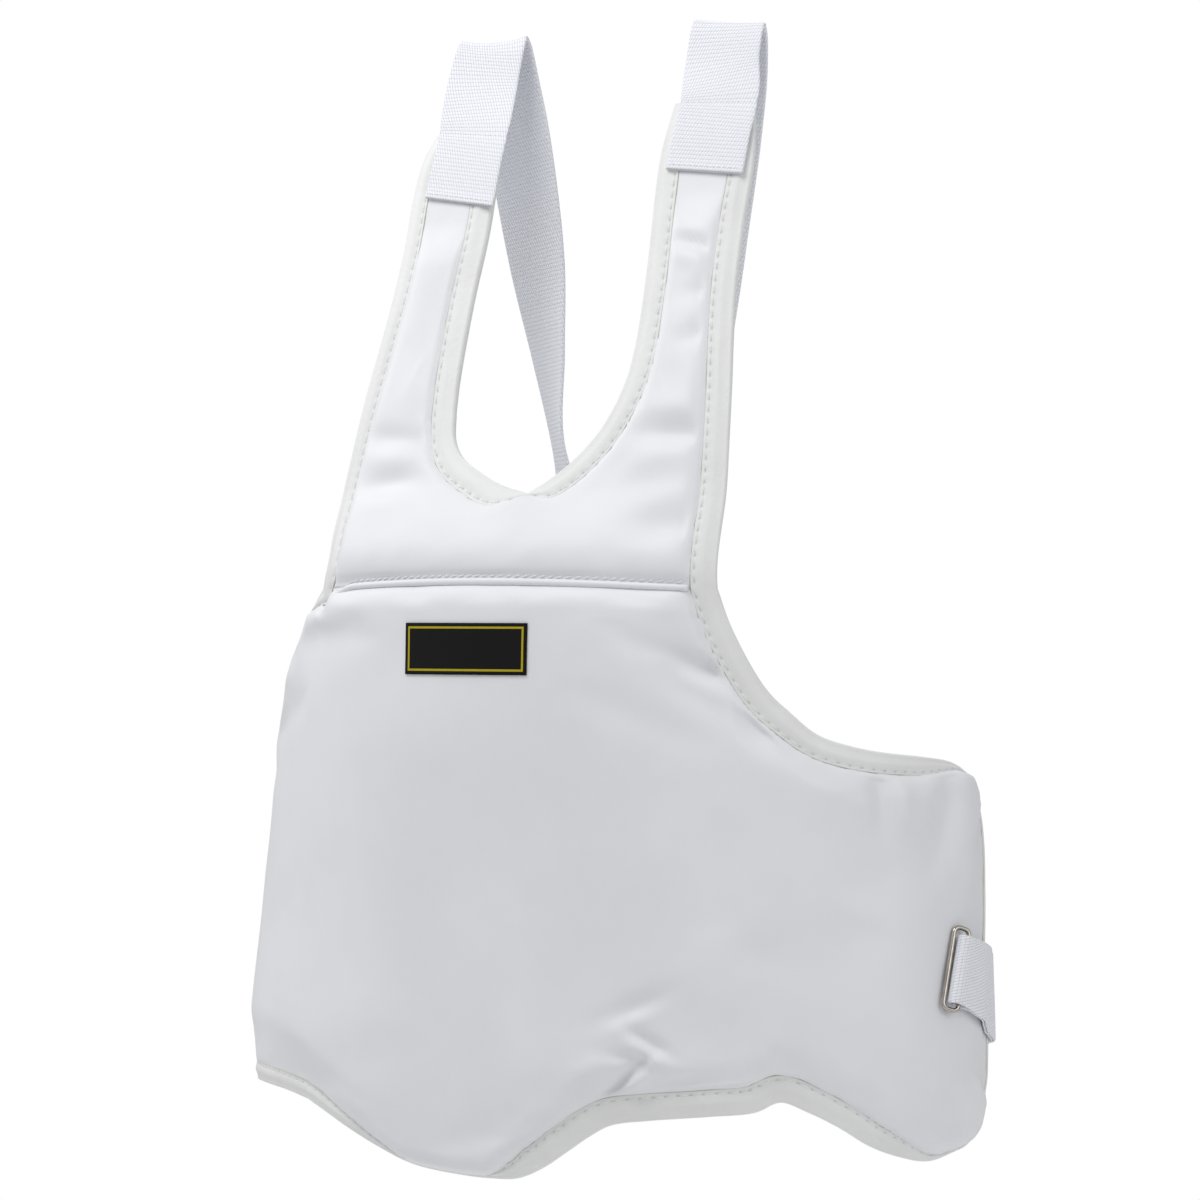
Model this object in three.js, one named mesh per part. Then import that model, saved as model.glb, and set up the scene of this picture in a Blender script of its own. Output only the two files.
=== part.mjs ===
// Padded chest and belly protector in its worn form, in millimetres, +Z up, front facing -Y.
// The origin lies midway between the crests of the two shoulder straps.
import * as THREE from 'three';
import { mergeVertices } from 'three/addons/utils/BufferGeometryUtils.js';

// Driving dimensions
const gap = 0.3;
const edgeHalf = 1.8;
const chestPad = { front: 10, back: 3.7, riseStart: 13, riseSpan: 26, seamStart: 1, seamSpan: 15 };
const yokePad = { front: 7.5, back: 3.7, riseStart: 13, riseSpan: 14, seamStart: 1, seamSpan: 12 };
const strapPatch = { top: -42, hem: -78, flatUntil: -86, swell: 26, yaw: -5.4 };
const patchSkew = { right: -4.2, left: 11.7 };
const patchSpread = { right: 0.05, left: 0.12 };
const binding = { width: 12, thickness: 0.8, clearance: 0.5, roundFrom: 0.2 };
const piping = { radius: 1.5, sides: 8, endGap: 1 };
const shoulderWebbing = { width: 40, thickness: 1.8, girth: 72, shift: 4 };
const tabWebbing = { width: 33.5, rearWidth: 41, thickness: 1.1, slope: 0.3, innerEnd: 28, clearance: 0.8 };
const tabLay = { slack: 0.6, fill: 2.7, loopEnd: 2, flatFrom: 12, drawnEnd: 8, bendRoom: 6 };
const ring = {
  inner: 37.8, opening: 6.2, wire: 1.15, corner: 3, sides: 8, height: -461, lift: 14.3, tilt: 18,
};
const ringGirth = { right: 234.9, left: 244 };
const flareReach = { right: { from: 200, span: 85 }, left: { from: 110, span: 50 } };
const label = { girth: -3, height: -307.4, width: 70, drop: 24.5, thickness: 0.6, clearance: 0.5 };
const tapedHalf = edgeHalf + binding.clearance + binding.thickness;
const leftDrop = 9;
const wingMiddle = -450;
const edgeRows = [0, 6.5, 13, 21];

// How finely each curve and face is divided
const steps = {
  seam: 16, armhole: 20, hemRight: 24, hemMiddle: 16, hemLeft: 16,
  bibOuter: 9, bibFoot: 6, bibInner: 15, neck: 8, chestMiddle: 3, yokeMiddle: 2,
  strapRow: 3, labelColumns: 10, labelBands: 4, ringCorner: 5,
  tabStrands: 4, tabFlat: 6, tabBend: 12, tabInside: 4, tabTurn: 6,
};

// Sections of the torso that the guard is bent round: half an ellipse at each height, a little narrower
// on the left side.
const sections = [
  { height: -600, rightWidth: 198, leftWidth: 197.5, depth: 129, front: -121 },
  { height: -500, rightWidth: 195, leftWidth: 194, depth: 129, front: -120 },
  { height: -440, rightWidth: 189, leftWidth: 187.5, depth: 129, front: -117.5 },
  { height: -390, rightWidth: 185.5, leftWidth: 182, depth: 128.5, front: -117 },
  { height: -330, rightWidth: 183, leftWidth: 178.5, depth: 128, front: -117 },
  { height: -276, rightWidth: 184, leftWidth: 180.5, depth: 126, front: -116 },
  { height: -230, rightWidth: 186, leftWidth: 184.5, depth: 84, front: -92 },
  { height: -180, rightWidth: 186, leftWidth: 186, depth: 60, front: -71 },
  { height: -112, rightWidth: 186, leftWidth: 186, depth: 45, front: -44 },
  { height: -60, rightWidth: 186, leftWidth: 186, depth: 43, front: -26 },
  { height: -33, rightWidth: 186, leftWidth: 186, depth: 43, front: -14 },
];

// How far the sides spring out of those sections: the right wing out at its top and in at its bottom,
// the left side in below the armhole and out at the hem.
const flares = [
  { height: -600, right: -9, left: 4 },
  { height: -541, right: -6.5, left: 4 },
  { height: -527, right: -4.8, left: 3.8 },
  { height: -512, right: -2.4, left: 2.8 },
  { height: -497, right: -1.9, left: 0.6 },
  { height: -483, right: -1.4, left: 0 },
  { height: -454, right: 0, left: 0 },
  { height: -439, right: 1.3, left: 0 },
  { height: -425, right: 2.3, left: 0 },
  { height: -405, right: 3.1, left: -0.5 },
  { height: -393, right: 2.7, left: -0.8 },
  { height: -381, right: 1.4, left: -1.1 },
  { height: -365, right: 0, left: -1.2 },
  { height: -340, right: 0, left: -1.2 },
  { height: -320, right: 0, left: -0.5 },
  { height: -300, right: 0, left: 0 },
  { height: -33, right: 0, left: 0 },
];

// Flat outlines. Girth is measured round the torso from the front centre line.
const seamLine = [
  { girth: 121.5, height: -279 },
  { girth: 60, height: -276.5 },
  { girth: 0, height: -275.5 },
  { girth: -60, height: -276.5 },
  { girth: -118, height: -279 },
];
const rightArmhole = [
  { girth: 285, height: wingMiddle },
  { girth: 285, height: -408 },
  { girth: 282, height: -384.5 },
  { girth: 272, height: -370 },
  { girth: 255, height: -363.3 },
  { girth: 230, height: -359.8 },
  { girth: 205, height: -357.2 },
  { girth: 188, height: -354 },
  { girth: 171, height: -348.3 },
  { girth: 158, height: -338 },
  { girth: 146, height: -326.5 },
  { girth: 129, height: -298 },
  { girth: 121.5, height: -279 },
];
const leftArmhole = [
  { girth: -118, height: -279 },
  { girth: -127, height: -285.5 },
  { girth: -144, height: -299 },
  { girth: -165, height: -314 },
  { girth: -184, height: -328 },
  { girth: -210, height: -338 },
  { girth: -250, height: -345 },
  { girth: -272, height: -354 },
  { girth: -283, height: -374 },
  { girth: -285, height: -400 },
  { girth: -285, height: wingMiddle },
];
const rightHem = [
  { girth: 285, height: wingMiddle },
  { girth: 285, height: -505 },
  { girth: 279, height: -530.5 },
  { girth: 262, height: -542.5 },
  { girth: 240, height: -546 },
  { girth: 221, height: -548.2 },
  { girth: 205, height: -545.2 },
  { girth: 190, height: -539.7 },
  { girth: 175, height: -530.5 },
  { girth: 160, height: -522.8 },
  { girth: 147, height: -518 },
  { girth: 135, height: -522.8 },
  { girth: 115, height: -524.8 },
];
const middleHem = [
  { girth: 115, height: -524.8 },
  { girth: 85, height: -527.4 },
  { girth: 68, height: -530 },
  { girth: 57, height: -536 },
  { girth: 46, height: -543.7 },
  { girth: 34, height: -551.8 },
  { girth: 22, height: -557 },
  { girth: 8, height: -557.8 },
  { girth: -8, height: -557.2 },
  { girth: -36, height: -554.2 },
  { girth: -58, height: -547.8 },
  { girth: -80, height: -540.4 },
  { girth: -98, height: -534.2 },
  { girth: -115, height: -529.1 },
];
const leftHem = [
  { girth: -115, height: -529.1 },
  { girth: -130, height: -527.1 },
  { girth: -143, height: -526 },
  { girth: -170, height: -525.8 },
  { girth: -200, height: -527 },
  { girth: -255, height: -524.5 },
  { girth: -279, height: -510 },
  { girth: -285, height: -485 },
  { girth: -285, height: wingMiddle },
];
const rightBibOuter = [
  { girth: 92.8, height: strapPatch.top },
  { girth: 97, height: -54 },
  { girth: 100.3, height: -74 },
  { girth: 100.6, height: -104 },
  { girth: 103.2, height: -138 },
  { girth: 106.5, height: -160 },
  { girth: 110.6, height: -184 },
  { girth: 116.2, height: -226 },
];
const rightBibFoot = [
  { girth: 116.2, height: -226 },
  { girth: 119.5, height: -256 },
  { girth: 121.5, height: -279 },
];
const leftBibFoot = [
  { girth: -118, height: -279 },
  { girth: -113.4, height: -265 },
  { girth: -113.3, height: -250 },
  { girth: -112, height: -226 },
];
const leftBibOuter = [
  { girth: -112, height: -226 },
  { girth: -107.9, height: -184 },
  { girth: -103.5, height: -143 },
  { girth: -102, height: -111 },
  { girth: -102.5, height: -83 },
  { girth: -100.5, height: -63 },
  { girth: -95, height: strapPatch.top - leftDrop },
];
const rightBibInner = [
  { girth: 50.5, height: strapPatch.top },
  { girth: 49, height: -68 },
  { girth: 50, height: -90 },
  { girth: 54.2, height: -138 },
  { girth: 55.4, height: -160 },
  { girth: 54.8, height: -176 },
  { girth: 51.8, height: -190 },
];
const neckBottomRight = [
  { girth: 51.8, height: -190 },
  { girth: 45.5, height: -204 },
  { girth: 35, height: -217.5 },
  { girth: 23.5, height: -227.5 },
  { girth: 12.5, height: -234.5 },
];
const neckBottomLeft = [
  { girth: 12.5, height: -234.5 },
  { girth: -5, height: -230 },
  { girth: -17, height: -225 },
  { girth: -34, height: -215.5 },
  { girth: -41.7, height: -206 },
  { girth: -45.5, height: -192 },
];
const leftBibInner = [
  { girth: -45.5, height: -192 },
  { girth: -47.7, height: -175 },
  { girth: -49.7, height: -137 },
  { girth: -49.2, height: -97 },
  { girth: -51.5, height: strapPatch.top - leftDrop },
];

// Free stretch of the left shoulder strap, from above its sewn front end to behind the right wing.
// Yaw and pitch turn the strap's width out of the X direction, in degrees. The right strap lies further
// out by apart and is pitched by tilt more, and sewn is how much of the sewn end's skew and spread is left.
const strapRoute = [
  { across: -69.5, back: -9.5, height: -22, yaw: 0, pitch: 0, tilt: 3, apart: 0.5, sewn: 0.6 },
  { across: -69, back: -2.6, height: -4.4, yaw: 0, pitch: 0, tilt: 6.5, apart: 0, sewn: 0.2 },
  { across: -69, back: 0, height: -1, yaw: 0, pitch: 0, tilt: 6.5, apart: 0, sewn: 0 },
  { across: -68.7, back: 2.6, height: -4.4, yaw: 0, pitch: 0, tilt: 6.5, apart: 0, sewn: 0 },
  { across: -66, back: 7, height: -25, yaw: -1, pitch: 0, tilt: 3, apart: 0, sewn: 0 },
  { across: -59.5, back: 9, height: -57, yaw: -4, pitch: 0, tilt: 0, apart: 1.2, sewn: 0 },
  { across: -50.5, back: 11, height: -113, yaw: -14, pitch: 0, tilt: 0, apart: -1.5, sewn: 0 },
  { across: -45, back: 13, height: -160, yaw: -34, pitch: 0, tilt: 0, apart: -6, sewn: 0 },
  { across: -40, back: 16, height: -210, yaw: -50, pitch: 0, tilt: 0, apart: -6, sewn: 0 },
  { across: -28.5, back: 24, height: -262, yaw: -24, pitch: 15, tilt: 0, apart: -6, sewn: 0 },
  { across: -6, back: 31, height: -310, yaw: 0, pitch: 30, tilt: 0, apart: -3, sewn: 0 },
  { across: 28, back: 38, height: -353, yaw: 0, pitch: 42, tilt: 0, apart: 0, sewn: 0 },
  { across: 74, back: 47, height: -390, yaw: 0, pitch: 58, tilt: 0, apart: 0, sewn: 0 },
  { across: 122, back: 58, height: -412, yaw: 0, pitch: 72, tilt: 0, apart: 3, sewn: 0 },
  { across: 154, back: 64, height: -421, yaw: 0, pitch: 84, tilt: 0, apart: 4, sewn: 0 },
];
const strapCrossing = { height: -310, reach: 75, fullAt: 0.6, clearance: 4 };
const wingSeat = { height: -427, girths: [276, 262, 246], lift: -7.4 };

// A smooth curve through rows that never overshoots them, read by height.
function through(rows, column) {
  const n = rows.length;
  const step = (i) => rows[i + 1].height - rows[i].height;
  const slope = (i) => (rows[i + 1][column] - rows[i][column]) / step(i);
  const tangents = rows.map((row, i) => {
    if (i === 0) return slope(0);
    if (i === n - 1) return slope(n - 2);
    const before = slope(i - 1);
    const after = slope(i);
    return before * after <= 0 ? 0 : (2 * before * after) / (before + after);
  });
  return (height) => {
    let i = 0;
    while (i < n - 2 && height > rows[i + 1].height) i += 1;
    const h = step(i);
    const s = (height - rows[i].height) / h;
    const s2 = s * s;
    const s3 = s2 * s;
    return (
      (2 * s3 - 3 * s2 + 1) * rows[i][column] +
      (s3 - 2 * s2 + s) * h * tangents[i] +
      (3 * s2 - 2 * s3) * rows[i + 1][column] +
      (s3 - s2) * h * tangents[i + 1]
    );
  };
}

const rightWidthAt = through(sections, 'rightWidth');
const leftWidthAt = through(sections, 'leftWidth');
const depthAt = through(sections, 'depth');
const frontAt = through(sections, 'front');
const rightFlareAt = through(flares, 'right');
const leftFlareAt = through(flares, 'left');

// Angle round the section for a girth, measured on the section through the wings.
const angleStep = 0.002;
const girthTable = [0];
for (let angle = 0; angle < 2.4; angle += angleStep) {
  const across = rightWidthAt(wingMiddle) * Math.cos(angle);
  const back = depthAt(wingMiddle) * Math.sin(angle);
  girthTable.push(girthTable[girthTable.length - 1] + Math.hypot(across, back) * angleStep);
}

function angleAt(girth) {
  const wanted = Math.abs(girth);
  let i = 1;
  while (i < girthTable.length - 1 && girthTable[i] < wanted) i += 1;
  const part = (wanted - girthTable[i - 1]) / (girthTable[i] - girthTable[i - 1]);
  return Math.sign(girth) * (i - 1 + part) * angleStep;
}

function torso(girth, height) {
  const angle = angleAt(girth);
  const [width, flare, reach] = girth < 0
    ? [leftWidthAt(height), -leftFlareAt(height), flareReach.left]
    : [rightWidthAt(height), rightFlareAt(height), flareReach.right];
  const across = width * Math.sin(angle) + flare * rise(Math.abs(girth), reach.from, reach.span);
  const back = frontAt(height) + depthAt(height) * (1 - Math.cos(angle));
  return new THREE.Vector3(across, back, height);
}

function torsoNormal(girth, height) {
  const round = torso(girth + 0.5, height).sub(torso(girth - 0.5, height));
  const up = torso(girth, height + 0.5).sub(torso(girth, height - 0.5));
  return round.cross(up).normalize();
}

function onTorso(p, lift) {
  return torso(p.x, p.y).addScaledVector(torsoNormal(p.x, p.y), lift);
}

// Flat curves in the plane of girth (x) and height (y)
function sampled(rows, steps) {
  const points = rows.map((row) => new THREE.Vector3(row.girth, row.height, 0));
  const curve = new THREE.CatmullRomCurve3(points, false, 'centripetal');
  return curve.getSpacedPoints(steps).map((p) => new THREE.Vector2(p.x, p.y));
}

function joined(...curves) {
  return curves.flatMap((curve, i) => (i === 0 ? curve : curve.slice(1)));
}

// The left bib's top hangs lower than the right one's
function bibDrop(girth) {
  return girth < 0 ? leftDrop : 0;
}

// Unit normals to the left of a flat curve's direction
function sideways(curve) {
  return curve.map((p, i) => {
    const before = curve[Math.max(i - 1, 0)];
    const after = curve[Math.min(i + 1, curve.length - 1)];
    const along = after.clone().sub(before).normalize();
    return new THREE.Vector2(-along.y, along.x);
  });
}

function offset(curve, normals, distance) {
  return curve.map((p, i) => p.clone().addScaledVector(normals[i], distance));
}

// Curves spread evenly between two others
function between(curveA, curveB, count) {
  return Array.from({ length: count }, (unused, k) =>
    curveA.map((p, i) => p.clone().lerp(curveB[i], (k + 1) / (count + 1))));
}

function distanceTo(p, curve) {
  let nearest = Infinity;
  for (let i = 0; i < curve.length - 1; i += 1) {
    const along = curve[i + 1].clone().sub(curve[i]);
    const part = THREE.MathUtils.clamp(p.clone().sub(curve[i]).dot(along) / along.lengthSq(), 0, 1);
    nearest = Math.min(nearest, p.distanceTo(curve[i].clone().addScaledVector(along, part)));
  }
  return nearest;
}

function rise(distance, start, span) {
  return THREE.MathUtils.smoothstep(distance, start, start + span);
}

// Closed bodies from triangles
class Faces {
  constructor() {
    this.numbers = [];
  }

  triangle(a, b, c) {
    const area = b.clone().sub(a).cross(c.clone().sub(a)).length();
    if (area < 1e-6) return;
    this.numbers.push(...a.toArray(), ...b.toArray(), ...c.toArray());
  }

  quad(a, b, c, d) {
    this.triangle(a, b, c);
    this.triangle(a, c, d);
  }

  geometry() {
    const raw = new THREE.BufferGeometry();
    raw.setAttribute('position', new THREE.Float32BufferAttribute(this.numbers, 3));
    const solid = mergeVertices(raw, 1e-3);
    const index = solid.getIndex();
    const at = (i) => new THREE.Vector3().fromBufferAttribute(solid.attributes.position, index.getX(i));
    let volume = 0;
    for (let i = 0; i < index.count; i += 3) volume += at(i).dot(at(i + 1).cross(at(i + 2)));
    if (volume < 0) {
      for (let i = 0; i < index.count; i += 3) {
        const first = index.getX(i);
        index.setX(i, index.getX(i + 1));
        index.setX(i + 1, first);
      }
    }
    solid.computeVertexNormals();
    return solid;
  }
}

// A pad over flat rows of points, with a front and a back thickness at each point
function padded(rows, thickness, openEnds) {
  const front = rows.map((row) => row.map((p) => onTorso(p, thickness(p).front)));
  const back = rows.map((row) => row.map((p) => onTorso(p, -thickness(p).back)));
  const faces = new Faces();
  const last = rows.length - 1;
  const end = rows[0].length - 1;
  for (let r = 0; r < last; r += 1) {
    for (let i = 0; i < end; i += 1) {
      faces.quad(front[r][i], front[r][i + 1], front[r + 1][i + 1], front[r + 1][i]);
      faces.quad(back[r][i], back[r + 1][i], back[r + 1][i + 1], back[r][i + 1]);
    }
    if (openEnds) {
      faces.quad(front[r][0], front[r + 1][0], back[r + 1][0], back[r][0]);
      faces.quad(front[r][end], back[r][end], back[r + 1][end], front[r + 1][end]);
    }
  }
  for (let i = 0; i < end; i += 1) {
    faces.quad(front[0][i], back[0][i], back[0][i + 1], front[0][i + 1]);
    faces.quad(front[last][i], front[last][i + 1], back[last][i + 1], back[last][i]);
  }
  return faces.geometry();
}

// A closed profile carried through a row of stations; the profile is flat where it is capped
function swept(stations, profile, closed) {
  const faces = new Faces();
  const count = stations.length;
  const sides = profile.length;
  const steps = closed ? count : count - 1;
  for (let i = 0; i < steps; i += 1) {
    const here = stations[i];
    const next = stations[(i + 1) % count];
    for (let k = 0; k < sides; k += 1) {
      const m = (k + 1) % sides;
      faces.quad(here[k], here[m], next[m], next[k]);
    }
  }
  if (!closed) {
    for (const [a, b, c] of THREE.ShapeUtils.triangulateShape(profile, [])) {
      faces.triangle(stations[0][c], stations[0][b], stations[0][a]);
      faces.triangle(stations[count - 1][a], stations[count - 1][b], stations[count - 1][c]);
    }
  }
  return faces.geometry();
}

function rectangle(width, thickness) {
  const w = width / 2;
  const t = thickness / 2;
  return [[-w, -t], [w, -t], [w, t], [-w, t]].map(([x, y]) => new THREE.Vector2(x, y));
}

function circle(radius, sides) {
  return Array.from({ length: sides }, (unused, k) => {
    const angle = (2 * Math.PI * k) / sides;
    return new THREE.Vector2(radius * Math.cos(angle), radius * Math.sin(angle));
  });
}

// Outlines shared by the pads and the tape on their edges
const seam = sampled(seamLine, steps.seam);
const armholeRight = sampled(rightArmhole, steps.armhole);
const armholeLeft = sampled(leftArmhole, steps.armhole);
const hemRight = sampled(rightHem, steps.hemRight);
const hemMiddle = sampled(middleHem, steps.hemMiddle);
const hemLeft = sampled(leftHem, steps.hemLeft);
const panelTop = joined(armholeRight, seam, armholeLeft);
const panelHem = joined(hemRight, hemMiddle, hemLeft);
const bibRight = joined(sampled(rightBibOuter, steps.bibOuter), sampled(rightBibFoot, steps.bibFoot));
const bibLeft = joined(sampled(leftBibFoot, steps.bibFoot), sampled(leftBibOuter, steps.bibOuter));
const neckRight = joined(sampled(rightBibInner, steps.bibInner), sampled(neckBottomRight, steps.neck));
const neckLeft = joined(sampled(neckBottomLeft, steps.neck), sampled(leftBibInner, steps.bibInner));
const neckline = joined(neckRight, neckLeft);
const yokeOuter = joined(bibRight, seam, bibLeft);
const rightSide = joined(bibRight, armholeRight.slice().reverse());
const leftSide = joined(armholeLeft.slice().reverse(), bibLeft);
const boundEdge = joined(rightSide, panelHem, leftSide);

function chestThickness(p) {
  const taped = rise(distanceTo(p, boundEdge), chestPad.riseStart, chestPad.riseSpan);
  const sewn = rise(distanceTo(p, seam), chestPad.seamStart, chestPad.seamSpan);
  return {
    front: edgeHalf + (chestPad.front - edgeHalf) * taped * sewn,
    back: edgeHalf + (chestPad.back - edgeHalf) * taped * sewn,
  };
}

function yokeThickness(p) {
  const edge = Math.min(distanceTo(p, boundEdge), distanceTo(p, neckline));
  const taped = rise(edge, yokePad.riseStart, yokePad.riseSpan);
  const sewn = rise(distanceTo(p, seam), yokePad.seamStart, yokePad.seamSpan);
  const pressed = rise(strapPatch.flatUntil - bibDrop(p.x) - p.y, 0, strapPatch.swell);
  return {
    front: edgeHalf + (yokePad.front - edgeHalf) * taped * sewn * pressed,
    back: edgeHalf + (yokePad.back - edgeHalf) * taped * sewn * pressed,
  };
}

function chestPanel() {
  const top = panelTop.map((p, i) => {
    const onSeam = i > armholeRight.length - 2 && i < armholeRight.length + seam.length - 1;
    return onSeam ? new THREE.Vector2(p.x, p.y - gap) : p;
  });
  const topNormals = sideways(panelTop);
  const hemNormals = sideways(panelHem).map((n) => n.negate());
  const endIn = new THREE.Vector2(-1, 0);
  topNormals[0] = endIn;
  hemNormals[0] = endIn;
  topNormals[topNormals.length - 1] = endIn.clone().negate();
  hemNormals[hemNormals.length - 1] = endIn.clone().negate();
  const topRows = edgeRows.map((distance) => offset(top, topNormals, distance));
  const hemRows = edgeRows.map((distance) => offset(panelHem, hemNormals, distance));
  const innerTop = topRows[topRows.length - 1];
  const innerHem = hemRows[hemRows.length - 1];
  const middleRows = between(innerTop, innerHem, steps.chestMiddle);
  return padded([...topRows, ...middleRows, ...hemRows.reverse()], chestThickness, false);
}

function yoke() {
  const outer = yokeOuter.map((p, i) => {
    const onSeam = i > bibRight.length - 2 && i < bibRight.length + seam.length - 1;
    return onSeam ? new THREE.Vector2(p.x, p.y + gap) : p;
  });
  const inNormals = sideways(neckline);
  const outNormals = sideways(yokeOuter).map((n) => n.negate());
  const level = (normals) => {
    normals[0].set(Math.sign(normals[0].x), 0);
    normals[normals.length - 1].set(Math.sign(normals[normals.length - 1].x), 0);
  };
  level(inNormals);
  level(outNormals);
  const reach = edgeRows.slice(0, -1);
  const inRows = reach.map((distance) => offset(neckline, inNormals, distance));
  const outRows = reach.map((distance) => offset(outer, outNormals, distance));
  const middle = between(inRows[reach.length - 1], outRows[reach.length - 1], steps.yokeMiddle);
  return padded([...inRows, ...middle, ...outRows.reverse()], yokeThickness, true);
}

// Edge tape: a C-shaped profile that follows the torso on both faces of the pad
function edgeTape(path) {
  const normals = sideways(path);
  const under = edgeHalf + binding.clearance;
  const over = under + binding.thickness;
  const round = gap + binding.thickness;
  const half = [
    [-binding.width, under],
    [-binding.width, over],
    [binding.roundFrom, over],
    [round, under / 2],
  ];
  const below = half.map(([out, lift]) => [out, -lift]).reverse();
  const outline = [...half, ...below, [gap, -under], [gap, under]].reverse();
  const profile = outline.map(([x, y]) => new THREE.Vector2(x, y));
  const stations = path.map((p, i) =>
    profile.map((q) => onTorso(p.clone().addScaledVector(normals[i], q.x), q.y)));
  return swept(stations, profile, false);
}

function seamPiping() {
  const inset = binding.width + piping.endGap;
  const path = seam.filter((p) => p.x < seam[0].x - inset && p.x > seam[steps.seam].x + inset);
  const profile = circle(piping.radius, piping.sides);
  const lift = edgeHalf + gap + piping.radius;
  const stations = path.map((p) =>
    profile.map((q) => onTorso(new THREE.Vector2(p.x, p.y + q.x), lift + q.y)));
  return swept(stations, profile, false);
}

// Shoulder strap: sewn flat on the bib, over the shoulder, across the back to the other wing's inside
function shoulderStrap(side) {
  const underBib = tapedHalf + gap + shoulderWebbing.thickness / 2;
  const sewnGirth = -shoulderWebbing.girth + side * -shoulderWebbing.shift;
  const rows = [];
  for (const height of [strapPatch.hem, (strapPatch.hem + strapPatch.top) / 2, strapPatch.top]) {
    const point = onTorso(new THREE.Vector2(sewnGirth, height - bibDrop(side)), underBib);
    rows.push({ point, yaw: strapPatch.yaw, pitch: 0, tilt: 0, sewn: 1 });
  }
  for (const row of strapRoute) {
    const near = 1 - Math.min(Math.abs(row.height - strapCrossing.height) / strapCrossing.reach, 1);
    const back = row.back - side * strapCrossing.clearance * rise(near, 0, strapCrossing.fullAt);
    const across = row.across - (side > 0 ? row.apart : 0);
    rows.push({ ...row, point: new THREE.Vector3(across, back, row.height) });
  }
  for (const girth of wingSeat.girths) {
    const point = onTorso(new THREE.Vector2(-side * girth, wingSeat.height), wingSeat.lift);
    point.x *= -side;
    rows.push({ point, yaw: 0, pitch: 90, tilt: 0, sewn: 0 });
  }
  const path = new THREE.CatmullRomCurve3(rows.map((row) => row.point), false, 'centripetal');
  const profile = rectangle(shoulderWebbing.width, shoulderWebbing.thickness);
  const end = side > 0 ? 'right' : 'left';
  const skew = Math.tan(THREE.MathUtils.degToRad(patchSkew[end]));
  const stations = [];
  const count = steps.strapRow * (rows.length - 1);
  for (let i = 0; i <= count; i += 1) {
    const t = i / count;
    const place = t * (rows.length - 1);
    const k = Math.min(Math.floor(place), rows.length - 2);
    const read = (column) => THREE.MathUtils.lerp(rows[k][column], rows[k + 1][column], place - k);
    const yaw = THREE.MathUtils.degToRad(read('yaw'));
    const pitch = THREE.MathUtils.degToRad(read('pitch') + (side > 0 ? read('tilt') : 0));
    const sewn = read('sewn');
    const along = path.getTangent(t);
    const level = Math.cos(pitch);
    const width = new THREE.Vector3(-Math.cos(yaw) * level, -Math.sin(yaw) * level, -Math.sin(pitch));
    width.addScaledVector(along, -width.dot(along)).normalize();
    const face = along.clone().cross(width);
    const point = path.getPoint(t);
    width.multiplyScalar(1 + patchSpread[end] * sewn).addScaledVector(along, skew * sewn);
    stations.push(profile.map((q) => {
      const corner = point.clone().addScaledVector(width, q.x).addScaledVector(face, q.y);
      corner.x *= -side;
      return corner;
    }));
  }
  return swept(stations, profile, false);
}

// Ring and tab share a flat frame on the wing: a runs along the tab, b along the ring's bar.
const tabLength = Math.hypot(1, tabWebbing.slope);
const tabAlong = new THREE.Vector2(1 / tabLength, -tabWebbing.slope / tabLength);
const tabAcross = new THREE.Vector2(tabWebbing.slope / tabLength, 1 / tabLength);
const wingEnd = rightArmhole[0].girth;

function seatGirth(side) {
  return side > 0 ? ringGirth.right : ringGirth.left;
}

function tabPlace(a, b, side) {
  const p = new THREE.Vector2(seatGirth(side), ring.height);
  return p.addScaledVector(tabAlong, a).addScaledVector(tabAcross, b);
}

// The tab is drawn in at the ring and has its full width at the wing's end
function spreadAt(a, side) {
  const part = THREE.MathUtils.clamp(a / (wingEnd - seatGirth(side)), 0, 1);
  return THREE.MathUtils.lerp(1, tabWebbing.rearWidth / tabWebbing.width, part);
}

// Rolls a flat point past the wing's end round to the inside, at a distance from the pad's mid face.
function rolled(p, lift, edgeLift, side) {
  const past = p.x - wingEnd;
  const bend = Math.PI * edgeLift;
  const flat = p.clone();
  let height = lift;
  if (past > bend) {
    flat.x = wingEnd - (past - bend);
    height = -lift;
  } else if (past > 0) {
    flat.x = wingEnd + lift * Math.sin(past / edgeLift);
    height = lift * Math.cos(past / edgeLift);
  }
  flat.x *= side;
  return onTorso(flat, height);
}

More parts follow.
